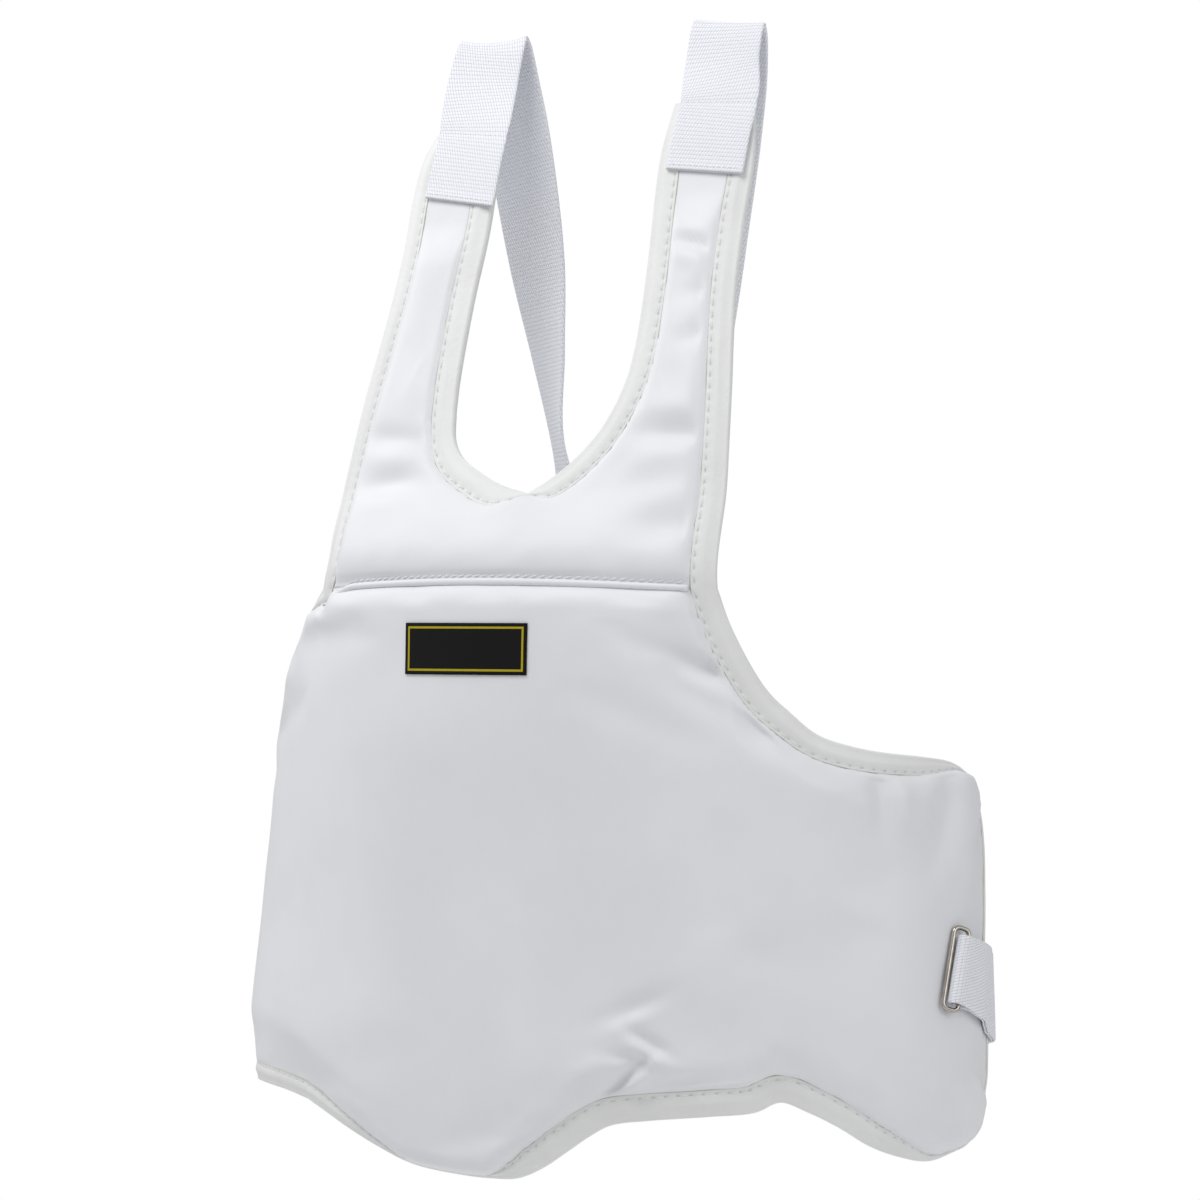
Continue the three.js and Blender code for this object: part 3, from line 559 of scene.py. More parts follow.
def lumps(flat, rows):
    # each row adds a stretched bell
    total = np.zeros(flat.shape[:-1])
    for girth, height, angle, length, width, lift in rows:
        turn = math.radians(angle)
        offset = flat - (girth, height)
        s = offset[..., 0] * math.cos(turn) + offset[..., 1] * math.sin(turn)
        t = offset[..., 1] * math.cos(turn) - offset[..., 0] * math.sin(turn)
        total += lift * np.exp(-(s / length)**2 - (t / width)**2)
    return total


def padPiece(name, flat, front, back):
    # two sheets over one flat grid, joined all round their rim
    rows, columns = flat.shape[:2]
    quads = gridQuads(rows, columns)[0]
    count = rows * columns
    ids = np.arange(count).reshape(rows, columns)
    rim = np.concatenate([ids[0], ids[1:, -1], ids[-1, -2::-1], ids[-2:0:-1, 0]])
    after = np.roll(rim, -1)
    wall = packed(rim, rim + count, after + count, after)
    faces = np.vstack([quads, quads[:, ::-1] + count, wall])
    uv = np.concatenate([flat, flat]).reshape(-1, 2)[faces]
    return makePiece(name, np.concatenate([front, back]), faces.tolist(), uv, merge=True)


def stretched(values, count, axis):
    # values read at evenly spread places along one axis
    place = np.linspace(0, values.shape[axis] - 1, count)
    low = np.minimum(place.astype(int), values.shape[axis] - 2)
    shape = [1] * values.ndim
    shape[axis] = count
    part = (place - low).reshape(shape)
    return np.take(values, low, axis) * (1 - part) + np.take(values, low + 1, axis) * part


def blurred(values, axis, times):
    moved = np.moveaxis(values, axis, 0).copy()
    for _ in range(times):
        moved[1:-1] = (moved[:-2] + 2 * moved[1:-1] + moved[2:]) / 4
    return np.moveaxis(moved, 0, axis)


cover = dict(frames=18, cap=4, blur=3,
             cloth=dict(quality=6, mass=0.4, tension_stiffness=18, compression_stiffness=18,
                        bending_stiffness=1.5, use_pressure=True, uniform_pressure_force=3,
                        shrink_min=-0.012, vertex_group_mass="sewn"))


def blownCover(flat, front, back, sewn, stride):
    # how far points move when the cover is cloth, held where sewn and blown up a little
    whole = np.zeros((2,) + front.shape)
    pick = (slice(None, None, stride), slice(1, -1, stride))
    sheets = np.stack([front[pick], back[pick]])
    rows, columns = sheets.shape[1:3]
    piece = padPiece("coverCloth", flat[pick], sheets[0], sheets[1])
    held = piece.vertex_groups.new(name="sewn")
    held.add(np.flatnonzero(np.stack([sewn[pick]] * 2).ravel()).tolist(), 1.0, "REPLACE")
    cloth = piece.modifiers.new("cover", "CLOTH").settings
    for key, value in cover["cloth"].items():
        setattr(cloth, key, value)
    cloth.effector_weights.gravity = 0
    scene = bpy.context.scene
    for step in range(1, cover["frames"] + 1):
        scene.frame_set(step)
    blown = piece.evaluated_get(bpy.context.evaluated_depsgraph_get()).to_mesh()
    places = np.empty(len(blown.vertices) * 3, np.float32)
    blown.vertices.foreach_get("co", places)
    scene.frame_set(1)
    move = places.reshape(2, rows, columns, 3) / mm - sheets
    bpy.data.objects.remove(piece, do_unlink=True)
    size = norm(move, axis=-1, keepdims=True)
    move *= np.minimum(1, cover["cap"] / np.maximum(size, 1e-6))
    whole[:, :, 1:-1] = stretched(stretched(move, front.shape[0], 1), front.shape[1] - 2, 2)
    return blurred(blurred(whole, 1, cover["blur"]), 2, cover["blur"])


chestPad = dict(front=8.8, back=3, backSpan=20, seamStart=1.2, seamSpan=11, rows=151, crowd=0.08, stride=3,
                swell=0.6, lumpEdge=4, lumpSeam=(1, 10), fill=0.7)
solidFace = dict(lift=10, start=13, span=26)
tabZone = dict(girth=216, girthSpan=14, height=-468, reach=60, heightSpan=26)
padEdges = [
    # girth, height, how much of the tape the pad hides, how far in it is full, how gently it rises
    (92.8, -42, 0, 10, 0), (121.5, -279, 0, 10, 0), (129, -298, 0, 11, 0), (158, -338, 0.5, 13, 0),
    (171, -348, 1.5, 13, 0), (193, -355, 2, 13, 0), (225, -359, 3.5, 12, 0), (240, -361, 6.5, 11, 0),
    (255, -363.3, 9.5, 10, 0), (267, -367.5, 11, 10, 0), (276, -374, 11, 16, 0.7), (282, -384.5, 9, 26, 0.9),
    (285, -398, 6.5, 34, 1), (285, -425, 3.5, 38, 1), (285, -500, 3.5, 38, 1), (284, -512, 4.5, 34, 1),
    (279, -530.5, 7.5, 24, 0.8), (262, -542.5, 10.5, 12, 0.2), (240, -546, 11, 9, 0),
    (221, -548.2, 10, 9, 0), (208, -546, 6.3, 10, 0), (196, -542.5, 3, 12, 0), (183, -536, 2, 13, 0),
    (147, -518, 0, 14, 0), (85, -527.4, 0, 14, 0), (46, -543.7, 0, 12, 0), (30, -554, 1.5, 11, 0),
    (19, -557.5, 5.5, 10, 0), (9, -557.8, 11.3, 9, 0), (-15, -556.5, 11.7, 9, 0), (-40, -553, 11.3, 9, 0),
    (-56, -548.5, 9, 10, 0), (-76, -542, 6.6, 14, 0.2), (-105, -532, 4, 24, 0.7), (-140, -526, 4, 30, 1),
    (-170, -525.8, 3.5, 30, 1), (-255, -524.5, 2, 26, 1), (-285, -485, 3, 34, 1), (-285, -400, 3, 34, 1),
    (-272, -354, 2, 18, 0.5), (-250, -345, 1, 14, 0.3), (-210, -338, 2, 14, 0.3), (-184, -328, 5, 12, 0.1),
    (-165, -314, 7, 10, 0), (-144, -299, 8, 10, 0), (-130, -288, 9.5, 9, 0), (-122, -282, 5.5, 9, 0),
    (-118, -279, 1.5, 10, 0), (-114.5, -270, 0, 10, 0), (-95, -51, 0, 10, 0),
]
neckEdges = [
    # columns as above
    (50.5, -42, 0, 10, 0), (35, -217.5, 0, 10, 0), (27, -224.5, 0.3, 9, 0), (22, -228.5, 1.5, 8, 0),
    (12.5, -234.5, 11, 8, 0), (2, -232, 4, 8, 0), (-4, -230, 1, 9, 0), (-12, -227.5, 0, 10, 0),
    (-51.5, -51, 0, 10, 0),
]
chestLumps = [
    # girth, height, angle, half length, half width, lift
    (82, -475, 24, 16, 4.5, -2.4), (81, -483, 24, 11, 3.5, 1.2), (89, -491, -33, 11, 2.8, -2.6),
    (86.5, -496, -36, 10, 2.8, 2.8), (75.5, -509.5, 44, 16, 3, -4.6), (81, -512, 44, 14, 3.2, 3),
    (63, -504, 30, 10, 6, 1.5), (78, -498.5, -10, 9, 3, -2.2), (90, -504.5, 0, 6, 3.2, -1.4),
    (100, -503, -10, 11, 4, 0.9), (122, -491, -20, 34, 22, -3.2), (106, -509, 5, 18, 4, -1.2),
    (142, -500, 85, 26, 7, 1.6), (117.5, -316.5, -24, 11, 4, -3.4), (121, -319, -35, 14, 6.5, -3.2),
    (126, -328, -30, 17, 6, 2.2), (142, -343, -60, 11, 7, -3.6), (200.5, -378, 90, 18, 6, -3),
    (209.5, -380, 90, 17, 6, 1.6), (233, -390, 65, 26, 8, -3.4), (246, -400, 75, 34, 9, 1.8),
    (-30, -345, 5, 70, 24, 1.2), (30, -440, 80, 60, 40, -1), (-110, -430, 88, 70, 22, -0.9),
    (-60, -505, 12, 40, 12, -1), (180, -460, 85, 50, 18, -1),
]


def gridBetween(first, second, pad):
    # rows of points from one edge to another, crowded near both
    t = np.linspace(0, 1, pad["rows"])[:, None, None]
    part = t - pad["crowd"] * np.sin(2 * np.pi * t)
    return first * (1 - part) + second * part


def edgeRead(flat, path, edges):
    # distance to a taped edge, and its table's columns at the nearest place
    away, place = nearestOn(flat, path)
    return [away] + readAlong(edges, path, place)


def solidLift(edge, low):
    # lift of the chest solid's face at a distance from its edge
    return low + (solidFace["lift"] - low) * ease(edge, solidFace["start"], solidFace["span"])


def makePad(name, node, pad, lumpRows, flat, reads, held=1):
    # thin under the tape, level with it at its free edge, then up: a quarter ellipse, or slowly where soft;
    # held is 0 where the pad is pressed flat by something sewn on
    edge, hidden, span, soft = reads
    girth, height = flat[..., 0], flat[..., 1]
    half = sew["edgeHalf"]
    inside = edge - tape["width"] + hidden
    seamAway = nearestOn(flat, seamLine)[0]
    sewnIn = plump(seamAway, pad["seamStart"], pad["seamSpan"]) * held
    rise = plump(inside, 0, span) * (1 - soft) + ease(inside, 0, span) * soft
    lift = half + (padLevel - half) * ease(inside, -sew["tuck"], sew["tuck"])
    lift += (pad["front"] - padLevel) * rise * sewnIn
    back = onTorso(flat, -half - (pad["back"] - half) * ease(edge, tape["width"], pad["backSpan"]) * sewnIn)
    sewn = (inside < sew["heldEdge"]) | (seamAway < pad["seamStart"] + sew["heldSeam"]) | (held == 0)
    move = blownCover(flat, onTorso(flat, lift), back, sewn, pad["stride"])
    lift += (move[0] * torsoNormal(girth, height)).sum(-1) * pad["swell"]
    lift += lumps(flat, lumpRows) * ease(inside, 0, pad["lumpEdge"]) * ease(seamAway, *pad["lumpSeam"]) * held
    # no higher than the solid's face under the ring's tab
    zone = (ease(np.abs(girth), tabZone["girth"], tabZone["girthSpan"])
            * ease(tabZone["reach"] - np.abs(height - tabZone["height"]), 0, tabZone["heightSpan"]))
    lift -= zone * np.maximum(lift - solidLift(edge, padLevel), 0)
    front = onTorso(flat, lift)
    piece = padPiece(name, flat, front, back)
    settle(piece, vinylFinish, node)
    return front


chestFlat = gridBetween(panelTop, panelHem, chestPad)
chestFront = makePad("chestPanelCover", "chest_panel", chestPad, chestLumps, chestFlat,
                     edgeRead(chestFlat, edgeLine, padEdges))
print("chest panel made")

yokePad = dict(front=7, back=3, backSpan=14, seamStart=3.6, seamSpan=13, rows=49, crowd=0, stride=3,
               swell=0.2, lumpEdge=6, lumpSeam=(3, 8), fill=0.6)
yokeLumps = [
    # columns as above
    (78, -114, -12, 17, 3.6, -2.6), (78, -121, -12, 16, 5, 1.2), (88, -137, 12, 11, 5, -1.8),
    (90, -158, 20, 11, 5, -1.8), (88, -206, 0, 20, 7, -2.9), (84, -196, 0, 17, 8, 1.2),
    (86, -217, 5, 19, 8, 1.3), (61, -221, 55, 14, 7, -1.3), (95, -251, 3, 20, 9, -2.9),
    (92, -238, 8, 20, 9, 1), (-76, -207, -6, 19, 5.5, -2), (-76, -217, -4, 19, 6.5, 1.2),
    (-74, -229, 4, 20, 6, -2.2), (-72, -240, 4, 20, 8, 1), (-66, -140, 90, 28, 7, -0.9),
]


def makeYoke():
    # from the neckline out to the armholes and the seam, flat under the strap ends
    flat = gridBetween(neckline, yokeOuter, yokePad)
    outer = edgeRead(flat, edgeLine, padEdges)
    neck = edgeRead(flat, neckLine, neckEdges)
    reads = [np.where(neck[0] < outer[0], n, o) for n, o in zip(neck, outer)]
    flatUntil = patch["flatUntil"] - patch["leftDrop"] * (flat[..., 0] < 0)
    held = ease(flatUntil - flat[..., 1], 0, patch["swell"])
    makePad("yokeCover", "yoke", yokePad, yokeLumps, flat, reads, held)


makeYoke()
print("yoke made")


# Edge tape and stitches

def sideways(path):
    # unit normals to the left of a flat path, rounded off at its corners
    along = np.gradient(path, axis=0)
    return unit(blurred(unit(packed(-along[:, 1], along[:, 0])), 0, 6))


def tapeProfile():
    # C-shaped section as (out, lift): a face with a turned free edge, thinner towards its round outer edge,
    # and the same behind
    over, width, bevel, fold = tapeOver, tape["width"], tape["bevel"], tape["fold"]
    under = over - tape["thickness"]
    edge = over - tape["thinner"]
    inner = edge - tape["thickness"] / 2
    turned = [(fold - width, under), (-width - fold, (under + over) / 2), (fold - width, over - tape["lip"])]
    face = np.linspace(4 * fold - width, 0, 13)
    arc = np.radians(np.linspace(80, 0, 6))
    frontHalf = np.vstack([turned, packed(face, over - tape["thinner"] * ease(face, -bevel, bevel)),
                           packed(tape["round"] * np.cos(arc), edge * np.sin(arc))])
    backHalf = (frontHalf[:-1] * (1, -1))[::-1]
    inside = [(-bevel, -under), (0.3, -inner), (0.3, inner), (-bevel, under)]
    return np.vstack([frontHalf, backHalf, inside])


def makeTapePiece(name, path, node, edges):
    # the section along the edge, narrower where the pad hides it, pulled down by each stitch
    length = lengthAlong(path)
    even = np.linspace(0, length[-1], int(length[-1]) + 1)
    normals = readAt(even, length, sideways(path))
    path = readAt(even, length, path)
    out, lift = tapeProfile().T
    face = np.sign(lift) * (np.abs(lift) > tapeOver - 0.3)
    fromEdge = out + tape["width"]
    fromStitch = fromEdge - tape["inset"]
    pull = np.exp(-(fromStitch / tape["dentWide"])**2)
    crown = np.clip(np.sin(np.pi * fromStitch / (tape["width"] - tape["inset"])), 0, 1)
    beat = np.cos(2 * np.pi * even / tape["pitch"])[:, None]
    wander = sum(size * np.sin(even / reach + start) for reach, start, size in tape["waves"])[:, None]
    change = crown * (tape["crown"] + tape["waver"] * wander)
    change -= pull * (tape["dent"] - tape["dentBeat"] * beat)
    fray = tape["fray"] * wander * np.exp(-fromEdge / 2)
    shown = 1 - readAlong(edges, path, even)[0] / tape["width"]
    aside = np.where(out < 0, out * shown[:, None], out) + fray
    stations = onTorso(path[:, None] + normals[:, None] * aside[..., None], lift + change * face)
    across = np.append(fromEdge * np.sign(lift + 1e-9), fromEdge[0])
    settle(sweptPiece(name, stations, even, across), tapeFinish, node)
    return path, normals, shown


def makeStitches(name, slot, places, directions, outward, length, radius, bow):
    # short threads, each a tube bowed up in the middle
    sides, parts = thread["sides"], thread["parts"]
    s = np.linspace(-1, 1, parts)
    turn = circle(sides)[:, None]
    core = (places[:, None] + directions[:, None] * (s * length / 2)[:, None]
            + outward[:, None] * (bow * (1 - s**2 - thread["sunk"]))[:, None])
    aside = np.cross(outward, directions)
    ring = aside[:, None, None] * np.cos(turn) + outward[:, None, None] * np.sin(turn)
    points = core[:, :, None] + ring * (np.sqrt(1 - thread["taper"] * s**4) * radius)[:, None, None]
    quads, place = gridQuads(parts, sides, wrapColumns=True)
    index = np.arange(len(places))[:, None, None]
    start = index * parts * sides
    caps = np.stack([np.arange(sides)[::-1], np.arange(sides) + (parts - 1) * sides])
    faces = (quads + start).reshape(-1, 4).tolist() + (caps + start).reshape(-1, sides).tolist()
    uv = packed(index * length + s[place[..., 0]] * length / 2, place[..., 1] * radius).reshape(-1, 2)
    uv = np.vstack([uv, np.zeros((2 * sides * len(places), 2))])
    settle(makePiece(name, points, faces, uv), threadFinish)


def stitchesOnTape(name, path, normals, shown, face):
    # one thread between each pair of holes, where the pad leaves them in sight
    length = lengthAlong(path)
    middles = np.arange(tape["pitch"], length[-1] - tape["pitch"], tape["pitch"])
    middles = middles[np.interp(middles, length, shown) > tape["inSight"]]
    line = path + normals * (tape["inset"] - tape["width"]) * shown[:, None]
    flat, before, after = (readAt(middles + step, length, line) for step in (0, -nudge, nudge))
    directions = unit(onTorso(after, face * tapeOver) - onTorso(before, face * tapeOver))
    makeStitches(name, "edge_tape", onTorso(flat, face * padLevel), directions,
                 torsoNormal(*flat.T) * face, *tape["stitch"])


tapeRuns = [("outerTape", boundEdge, "outer_binding", padEdges),
            ("neckTape", neckline[::-1], "neck_binding", neckEdges)]
for tapeName, *run in tapeRuns:
    evenTape = makeTapePiece(tapeName, *run)
    for word, face in (("Front", 1), ("Back", -1)):
        stitchesOnTape(tapeName + "Stitches" + word, *evenTape, face)
print("edge tape made, lengths", [round(float(lengthAlong(path)[-1])) for path in (boundEdge, neckline)])


# Piped seam

piping = dict(radius=1.55, stand=0.9, sides=14, endGap=-0.8, pitch=4.6, drawn=0.05, row=2.6, dip=4.5,
              dipFrom=84, dipSpan=24, slant=(0.5, 0.15), stitch=(3.45, 0.45, 0.4))


def makePiping():
    # round cord along the seam, drawn in a little at each stitch and dipping at its left end
    inset = tape["width"] + piping["endGap"]
    path = seam[(seam[:, 0] < seam[0, 0] - inset) & (seam[:, 0] > seam[-1, 0] + inset)]
    path = path - packed(0, piping["dip"] * ease(-path[:, 0], piping["dipFrom"], piping["dipSpan"]))
    length = lengthAlong(path)
    turn = circle(piping["sides"])
    beat = np.cos(2 * np.pi * length / piping["pitch"])[:, None]
    radius = piping["radius"] * (1 - piping["drawn"] * beat)
    flat = packed(path[:, :1], path[:, 1:] + radius * np.cos(turn))
    stations = onTorso(flat, sew["edgeHalf"] + piping["stand"] + piping["radius"] + radius * np.sin(turn))
    across = np.append(turn, 2 * np.pi) * piping["radius"]
    settle(sweptPiece("yokePiping", stations, length, across), vinylFinish, "yoke_piping")
    row = readAt(np.arange(piping["pitch"], length[-1], piping["pitch"]), length, path) + (0, piping["row"])
    step = np.array(piping["slant"])
    ahead = onTorso(row - step, tapeOver) - onTorso(row + step, tapeOver)
    makeStitches("pipingStitches", "piping", onTorso(row, tapeOver), unit(ahead), torsoNormal(*row.T),
                 *piping["stitch"])


makePiping()
print("piping made")


# Webbing

webbing = dict(width=40, thickness=1.8, girth=72, shift=4, across=20, perSpan=14)
strapRoute = [
    # the left strap's across, back, height, yaw, pitch and share of its sewn skew, then how much further out
    # the right strap lies and how much more it is pitched
    (-69.5, -9.5, -22, 0, 0, 0.6, 0.5, 3), (-69, -2.6, -4.4, 0, 0, 0.2, 0, 6.5),
    (-69, 0, -1, 0, 0, 0, 0, 6.5), (-68.7, 2.6, -4.4, 0, 0, 0, 0, 6.5), (-66, 7, -25, -1, 0, 0, 0, 3),
    (-59.5, 9, -57, -4, 0, 0, 1.2, 0), (-50.5, 11, -113, -14, 0, 0, -1.5, 0),
    (-45, 13, -160, -34, 0, 0, -6, 0), (-40, 16, -210, -50, 0, 0, -6, 0),
    (-28.5, 24, -262, -24, 15, 0, -6, 0), (-6, 31, -310, 0, 30, 0, -3, 0), (28, 38, -353, 0, 42, 0, 0, 0),
    (74, 47, -390, 0, 58, 0, 0, 0), (122, 58, -412, 0, 72, 0, 3, 0), (154, 64, -421, 0, 84, 0, 4, 0),
]
crossing = dict(height=-310, reach=75, fullAt=0.6, clearance=4)
wingSeat = dict(height=-427, girths=(276, 262, 246), lift=-7.4)


def webbingProfile(strip):
    # flat oval section as (across, through): round selvedges and flat faces
    half = strip["thickness"] / 2
    flatTo = strip["width"] / 2 - half
    arc = np.radians(np.linspace(-60, 60, 4))
    edge = packed(flatTo + half * np.cos(arc), half * np.sin(arc))
    lower = packed(np.linspace(-flatTo, flatTo, strip["across"] + 1), -half)
    return np.vstack([lower, edge, -lower, -edge])


sewing = dict(gap=0.3, hem=3.6, hemEdge=1.4, hemLift=0.35, hemRow=2.6, band=38, bandWide=2.4, press=0.4,
              thin=0.6, narrow=0.02, narrowWide=3.5, crest={1: 0.5, -1: 2.2}, crestWide=9, threads=12,
              margin=5, share=0.62, stitch=(0.25, 0.25))


def makeStrap(side, name, node):
    # the section carried along the route, its width turned by yaw and pitch
    half = webbing["thickness"] / 2
    mirror = np.array([-side, 1, 1])
    heights = np.linspace(patch["hem"], patch["top"], 3) - patch["leftDrop"] * (side < 0)
    sewnFlat = packed(-webbing["girth"] - side * webbing["shift"], heights)
    front = onTorso(sewnFlat, tapeOver + sewing["gap"] + half)
    front = np.column_stack([front, np.tile((patch["yaw"], 0, 1), (3, 1))])
    middle, further = np.split(np.array(strapRoute, float), [6], axis=1)
    middle[:, [0, 4]] += further * (-1, 1) * (side > 0)
    near = 1 - np.minimum(np.abs(middle[:, 2] - crossing["height"]) / crossing["reach"], 1)
    middle[:, 1] -= side * crossing["clearance"] * ease(near, 0, crossing["fullAt"])
    seatFlat = packed(-side * np.array(wingSeat["girths"]), wingSeat["height"])
    seat = np.column_stack([onTorso(seatFlat, wingSeat["lift"]) * mirror, np.tile((0, 90, 0), (3, 1))])
    path = spansThrough(np.vstack([front, middle, seat]), webbing["perSpan"], 3)
    points, sewnOn = path[:, :3], path[:, 5:]
    yaw, pitch = np.radians(path[:, 3:5]).T
    along = unit(np.gradient(points, axis=0))
    width = packed(-np.cos(yaw) * np.cos(pitch), -np.sin(yaw) * np.cos(pitch), -np.sin(pitch))
    width = unit(width - along * (width * along).sum(-1, keepdims=True))
    face = np.cross(along, width)
    skew = math.tan(math.radians(patch["skew"][side]))
    width = width * (1 + patch["spread"][side] * sewnOn) + along * skew * sewnOn
    profile = webbingProfile(webbing)
    length = lengthAlong(points)

    def bell(centre, reach):
        return np.exp(-((length - centre) / reach)**2)

    # the hem stands up, the sewn band is pressed in and narrower, the crest sags in its middle
    hem = 1 - ease(length, sewing["hem"], sewing["hemEdge"])
    pressed = bell(sewing["band"], sewing["bandWide"])
    swell = sewing["hemLift"] * hem - sewing["press"] * pressed - sewing["thin"] * path[:, 5]
    narrow = 1 - sewing["narrow"] * bell(sewing["band"], sewing["narrowWide"])
    sag = sewing["crest"][side] * bell(length[points[:, 2].argmax()], sewing["crestWide"])
    stations = (points[:, None] + width[:, None] * (profile[:, :1] * narrow[:, None, None])
                + face[:, None] * (profile[:, 1] + swell[:, None] * (profile[:, 1] > 0.1))[..., None])
    stations[..., 2] -= sag[:, None] * (1 - (2 * profile[:, 0] / webbing["width"])**2)
    piece = sweptPiece(name, stations * mirror, length, closedLength(profile))
    settle(piece, webbingFinish, node)
    across = (np.arange(sewing["threads"]) + 0.5) / sewing["threads"] - 0.5
    across = across[:, None] * (webbing["width"] - sewing["margin"])
    stitch = webbing["width"] / sewing["threads"] * sewing["share"]
    for row, distance in (("A", sewing["hemRow"]), ("B", sewing["band"])):
        i = np.abs(length - distance).argmin()
        places = (points[i] + width[i] * across + face[i] * (half + swell[i])) * mirror
        makeStitches(name + "Stitches" + row, "webbing", places, 0 * places + unit(width[i] * mirror),
                     0 * places + face[i] * mirror, stitch, *sewing["stitch"])
    return length[-1]


sides = ((-1, "left"), (1, "right"))
strapLengths = [makeStrap(side, "strap" + word.title(), "shoulder_strap_" + word) for side, word in sides]
print("straps made, lengths", [round(float(length)) for length in strapLengths])

tab = dict(width=33.5, rearWidth=41, thickness=1.1, slope=0.3, innerEnd=28, clearance=0.8, gap=0.3,
           slack=0.6, fill=2.7, loopEnd=2, flatFrom=12, drawnEnd=8, bendRoom=6, across=17,
           steps=(24, 36, 16, 13))
ring = dict(inner=37.8, opening=6.2, wire=1.15, corner=3, height=-461, lift=14.3, tilt=18,
            girth={1: 234.9, -1: 244}, sides=20, cornerSteps=10)
tabAlong = unit(np.array([1, -tab["slope"]]))
tabAcross = unit(np.array([tab["slope"], 1]))


def tabPlace(a, b, side):
    # a is along the tab, b across it; drawn in at the ring, widest at the wing's end
    part = np.clip(a / (sew["wingEnd"] - ring["girth"][side]), 0, 1)
    b = b * (1 + (tab["rearWidth"] / tab["width"] - 1) * part)
    return packed(ring["girth"][side], ring["height"]) + a[..., None] * tabAlong + b[..., None] * tabAcross


def rolled(flat, lift, edgeLift, side):
    # points past the wing's end roll round it to the inside
    past = flat[..., 0] - sew["wingEnd"]
    bend = math.pi * edgeLift
    angle = np.clip(past / edgeLift, 0, math.pi)
    girth = np.where(past > bend, sew["wingEnd"] - (past - bend),
                     np.where(past > 0, sew["wingEnd"] + lift * np.sin(angle), flat[..., 0]))
    return onTorso(packed(girth * side, flat[..., 1]), lift * np.cos(angle))


def makeTab(side, name, node):
    # one strip from inside the wing, round its end, through the ring and back over itself
    half = tab["thickness"] / 2
    loop = ring["wire"] + tab["gap"] + tab["slack"] + half
    under = tapeOver + tab["clearance"] + half
    over = under + tab["thickness"] + tab["gap"]
    front = sew["wingEnd"] - ring["girth"][side]
    profile = webbingProfile(tab)
    b, inside = profile.T
    steps = tab["steps"]

    def layer(facing):
        edgeLift = over if facing > 0 else under
        bendStart = front - tab["bendRoom"]
        bend = 2 * tab["bendRoom"] + math.pi * edgeLift
        a = np.hstack([np.linspace(-tab["fill"], bendStart, steps[0], endpoint=False),
                       bendStart + np.linspace(0, bend, steps[1], endpoint=False),
                       bendStart + bend + np.linspace(0, tab["innerEnd"], steps[2])])[:, None]
        flat = tabPlace(a, b, side)
        pad = solidLift(nearestOn(flat * (side, 1), edgeLine)[0], sew["edgeHalf"]) + tab["clearance"] + half
        pad = np.where(flat[..., 0] > sew["wingEnd"], 0, pad)
        near = 1 - ease(a, tab["loopEnd"], tab["flatFrom"] - tab["loopEnd"])
        fall = np.clip(a / (front - tab["drawnEnd"]), 0, 1)
        drawn = (ring["lift"] + loop) * (1 - fall) + over * fall
        high = np.maximum(np.maximum(under, pad) + over - under, drawn)
        low = (high - over + under) * (1 - near) + (ring["lift"] - loop) * near
        return rolled(flat, (high if facing > 0 else low) + facing * inside, edgeLift, side)

    angle = np.pi * np.linspace(0, 1, steps[3] + 1)[1:-1]
    a = -tab["fill"] - np.sin(angle)[:, None] * (loop + inside)
    turn = onTorso(tabPlace(a, b, side) * (side, 1), ring["lift"] - np.cos(angle)[:, None] * (loop + inside))
    stations = np.concatenate([layer(-1)[::-1], turn, layer(1)])
    piece = sweptPiece(name, stations, lengthAlong(stations.mean(1)), closedLength(profile))
    settle(piece, webbingFinish, node)


def makeRing(side, name):
    # round wire along a rounded rectangle, its rear bar in the tab's loop
    ends = np.array([-0.5, 0.5]) * ring["inner"]
    foot, top = onTorso(tabPlace(0 * ends, ends, side) * (side, 1), ring["lift"])
    bar = unit(top - foot)
    centre = (foot + top) / 2
    out = torsoNormal(np.array(ring["girth"][side] * side), np.array(ring["height"]))
    out = unit(out - bar * (out @ bar))
    tilt = math.radians(ring["tilt"])
    forward = np.cross(out, bar) * side
    out, forward = (out * math.cos(tilt) + forward * math.sin(tilt),
                    forward * math.cos(tilt) - out * math.sin(tilt))
    reach = ring["opening"] + 2 * ring["wire"]
    length = ring["inner"] / 2 + ring["wire"]
    c = ring["corner"]
    corners = np.array([(reach - c, length - c), (c, length - c), (c, c - length), (reach - c, c - length)])
    turn = np.radians(np.linspace(0, 90, ring["cornerSteps"] + 1)) + np.radians([[0], [90], [180], [270]])
    away = packed(np.cos(turn), np.sin(turn))
    core = centre + (corners[:, None] + c * away).reshape(-1, 2) @ np.stack([forward, bar])
    outward = away.reshape(-1, 1, 2) @ np.stack([forward, bar])
    spin = circle(ring["sides"])[:, None]
    stations = core[:, None] + ring["wire"] * (outward * np.cos(spin) + out * np.sin(spin))
    along = closedLength(core)
    across = np.append(spin, 2 * np.pi) * ring["wire"]
    piece = sweptPiece(name + "Wire", stations, along, across, closed=True)
    settle(piece, nickelFinish, name, name)


for side, word in sides:
    makeTab(side, "ringTab" + word.title(), "ring_tab_" + word)
    makeRing(side, "ring_" + word)
print("tabs and rings made")


def coverLift(flat):
    # lift of the finished chest cover: its points averaged, near ones weighing most
    points = flat.reshape(-1, 1, 2)
    reach = label["reach"]
    near = ((chestFlat > points.min(0) - reach) & (chestFlat < points.max(0) + reach)).all(-1)
    known = chestFlat[near]
    lift = ((chestFront[near] - torso(*known.T)) * torsoNormal(*known.T)).sum(-1)
    weight = np.exp(-((points - known)**2).sum(-1) / label["blend"])
    return ((weight * lift).sum(-1) / weight.sum(-1)).reshape(flat.shape[:-1])


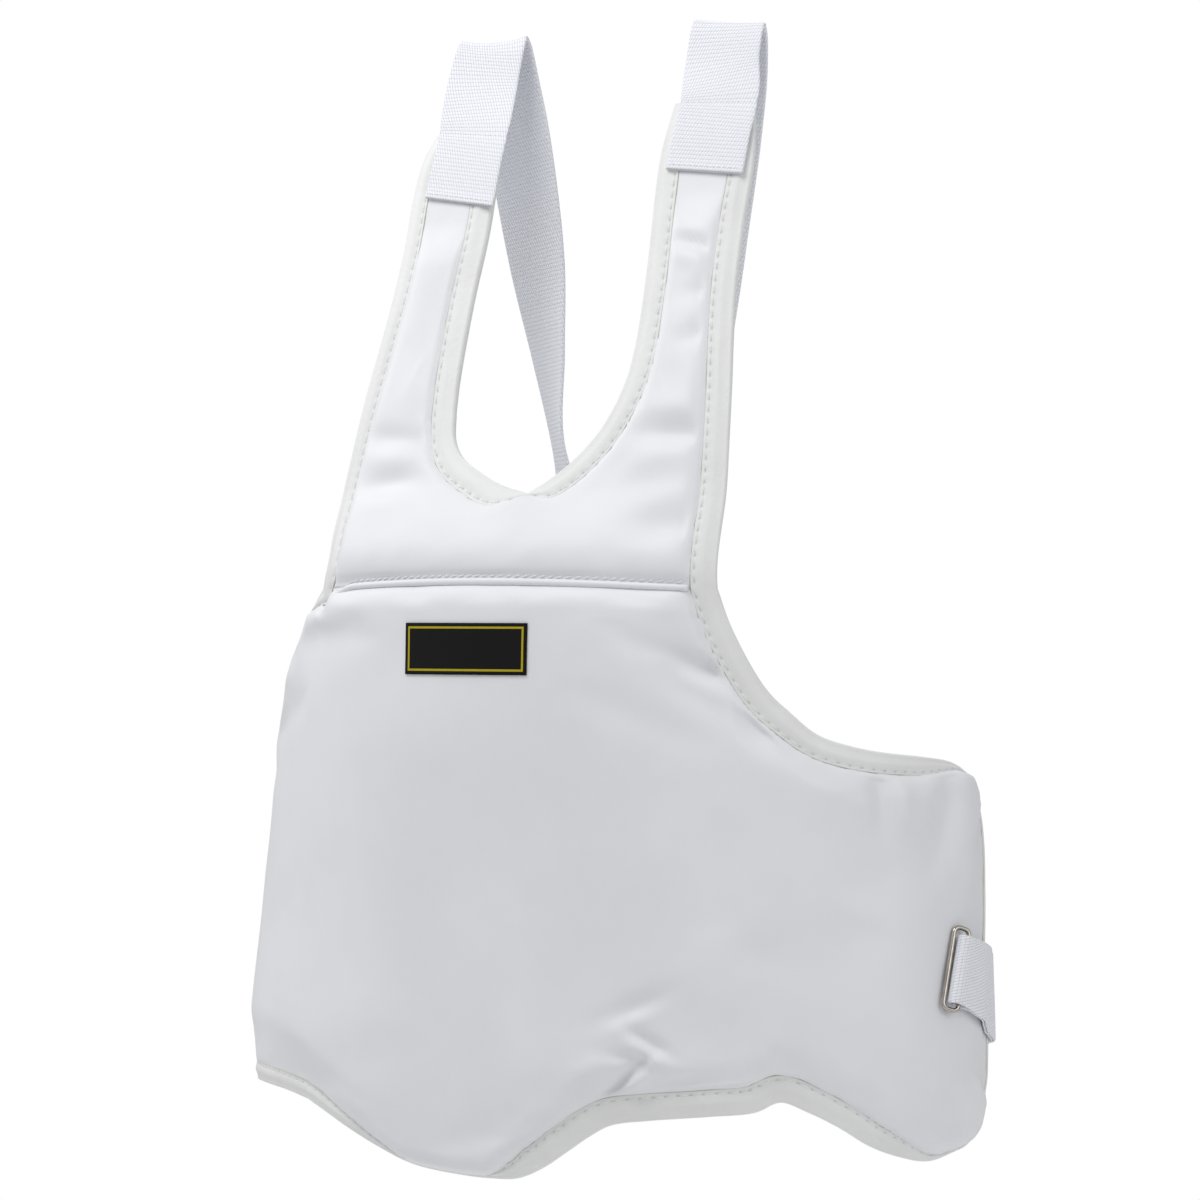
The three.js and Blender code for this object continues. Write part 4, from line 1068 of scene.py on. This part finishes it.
def makeLabelPiece():
    wide, high = label["grid"]
    u = np.linspace(-0.5, 0.5, wide) * label["width"]
    v = np.linspace(0.5, -0.5, high) * label["drop"]
    local = packed(*np.meshgrid(u, v))
    flat = local + (label["girth"], label["height"])
    lift = coverLift(flat) + label["gap"]
    piece = padPiece("labelPatch", local, onTorso(flat, lift + label["thickness"]), onTorso(flat, lift))
    settle(piece, labelFinish, "label")


makeLabelPiece()
print("label made")


# Floor and light

stage = dict(floor=-900, radius=1300, sides=96, tone=(0.9, 0.9, 0.9, 1), ambient=0.443, backdrop=1,
             lampAim=(0, -60, -320))
lamps = [
    # name, place, size, power
    ("front", (-250, -850, 1050), 1000, 11.3),
    ("leftSide", (-1200, -200, 500), 900, 4.7),
    ("rightSide", (1200, -250, 0), 900, 2.7),
    ("rear", (-500, 900, 900), 320, 4.5),
]


def addFloor():
    turn = circle(stage["sides"])
    reach = np.array([1, stage["radius"]])[:, None]
    points = packed(reach * np.cos(turn), reach * np.sin(turn), stage["floor"])
    quads = gridQuads(2, stage["sides"], wrapColumns=True)[0]
    floor = makePiece("floor", points, quads[:, ::-1].tolist() + [list(range(stage["sides"]))])
    floor.data.materials.append(Finish("paleFloor").close({"Base Color": stage["tone"], "Roughness": 0.9}))


def addLamp(name, place, size, power):
    data = bpy.data.lights.new(name, "AREA")
    data.shape = "DISK"
    data.size = size * mm
    data.energy = power
    lamp = addObject(name, data)
    lamp.location = Vector(place) * mm
    lamp.rotation_euler = (Vector(stage["lampAim"]) - Vector(place)).to_track_quat("-Z", "Y").to_euler()


def addWorld():
    # even studio light, with a brighter backdrop where the camera looks past the guard
    finish = Finish("studio", bpy.data.worlds)
    sources = {0: finish.add("LightPath").outputs["Is Camera Ray"]}
    for socket, name in ((1, "ambient"), (2, "backdrop")):
        white = finish.add("Background", {"Color": (1, 1, 1, 1), "Strength": stage[name]})
        sources[socket] = white.outputs[0]
    finish.add("OutputWorld", {"Surface": finish.add("MixShader", sources).outputs[0]})
    bpy.context.scene.world = finish.block


addFloor()
for lamp in lamps:
    addLamp(*lamp)
addWorld()
bpy.context.scene.view_settings.view_transform = "Standard"
print("stage lit")
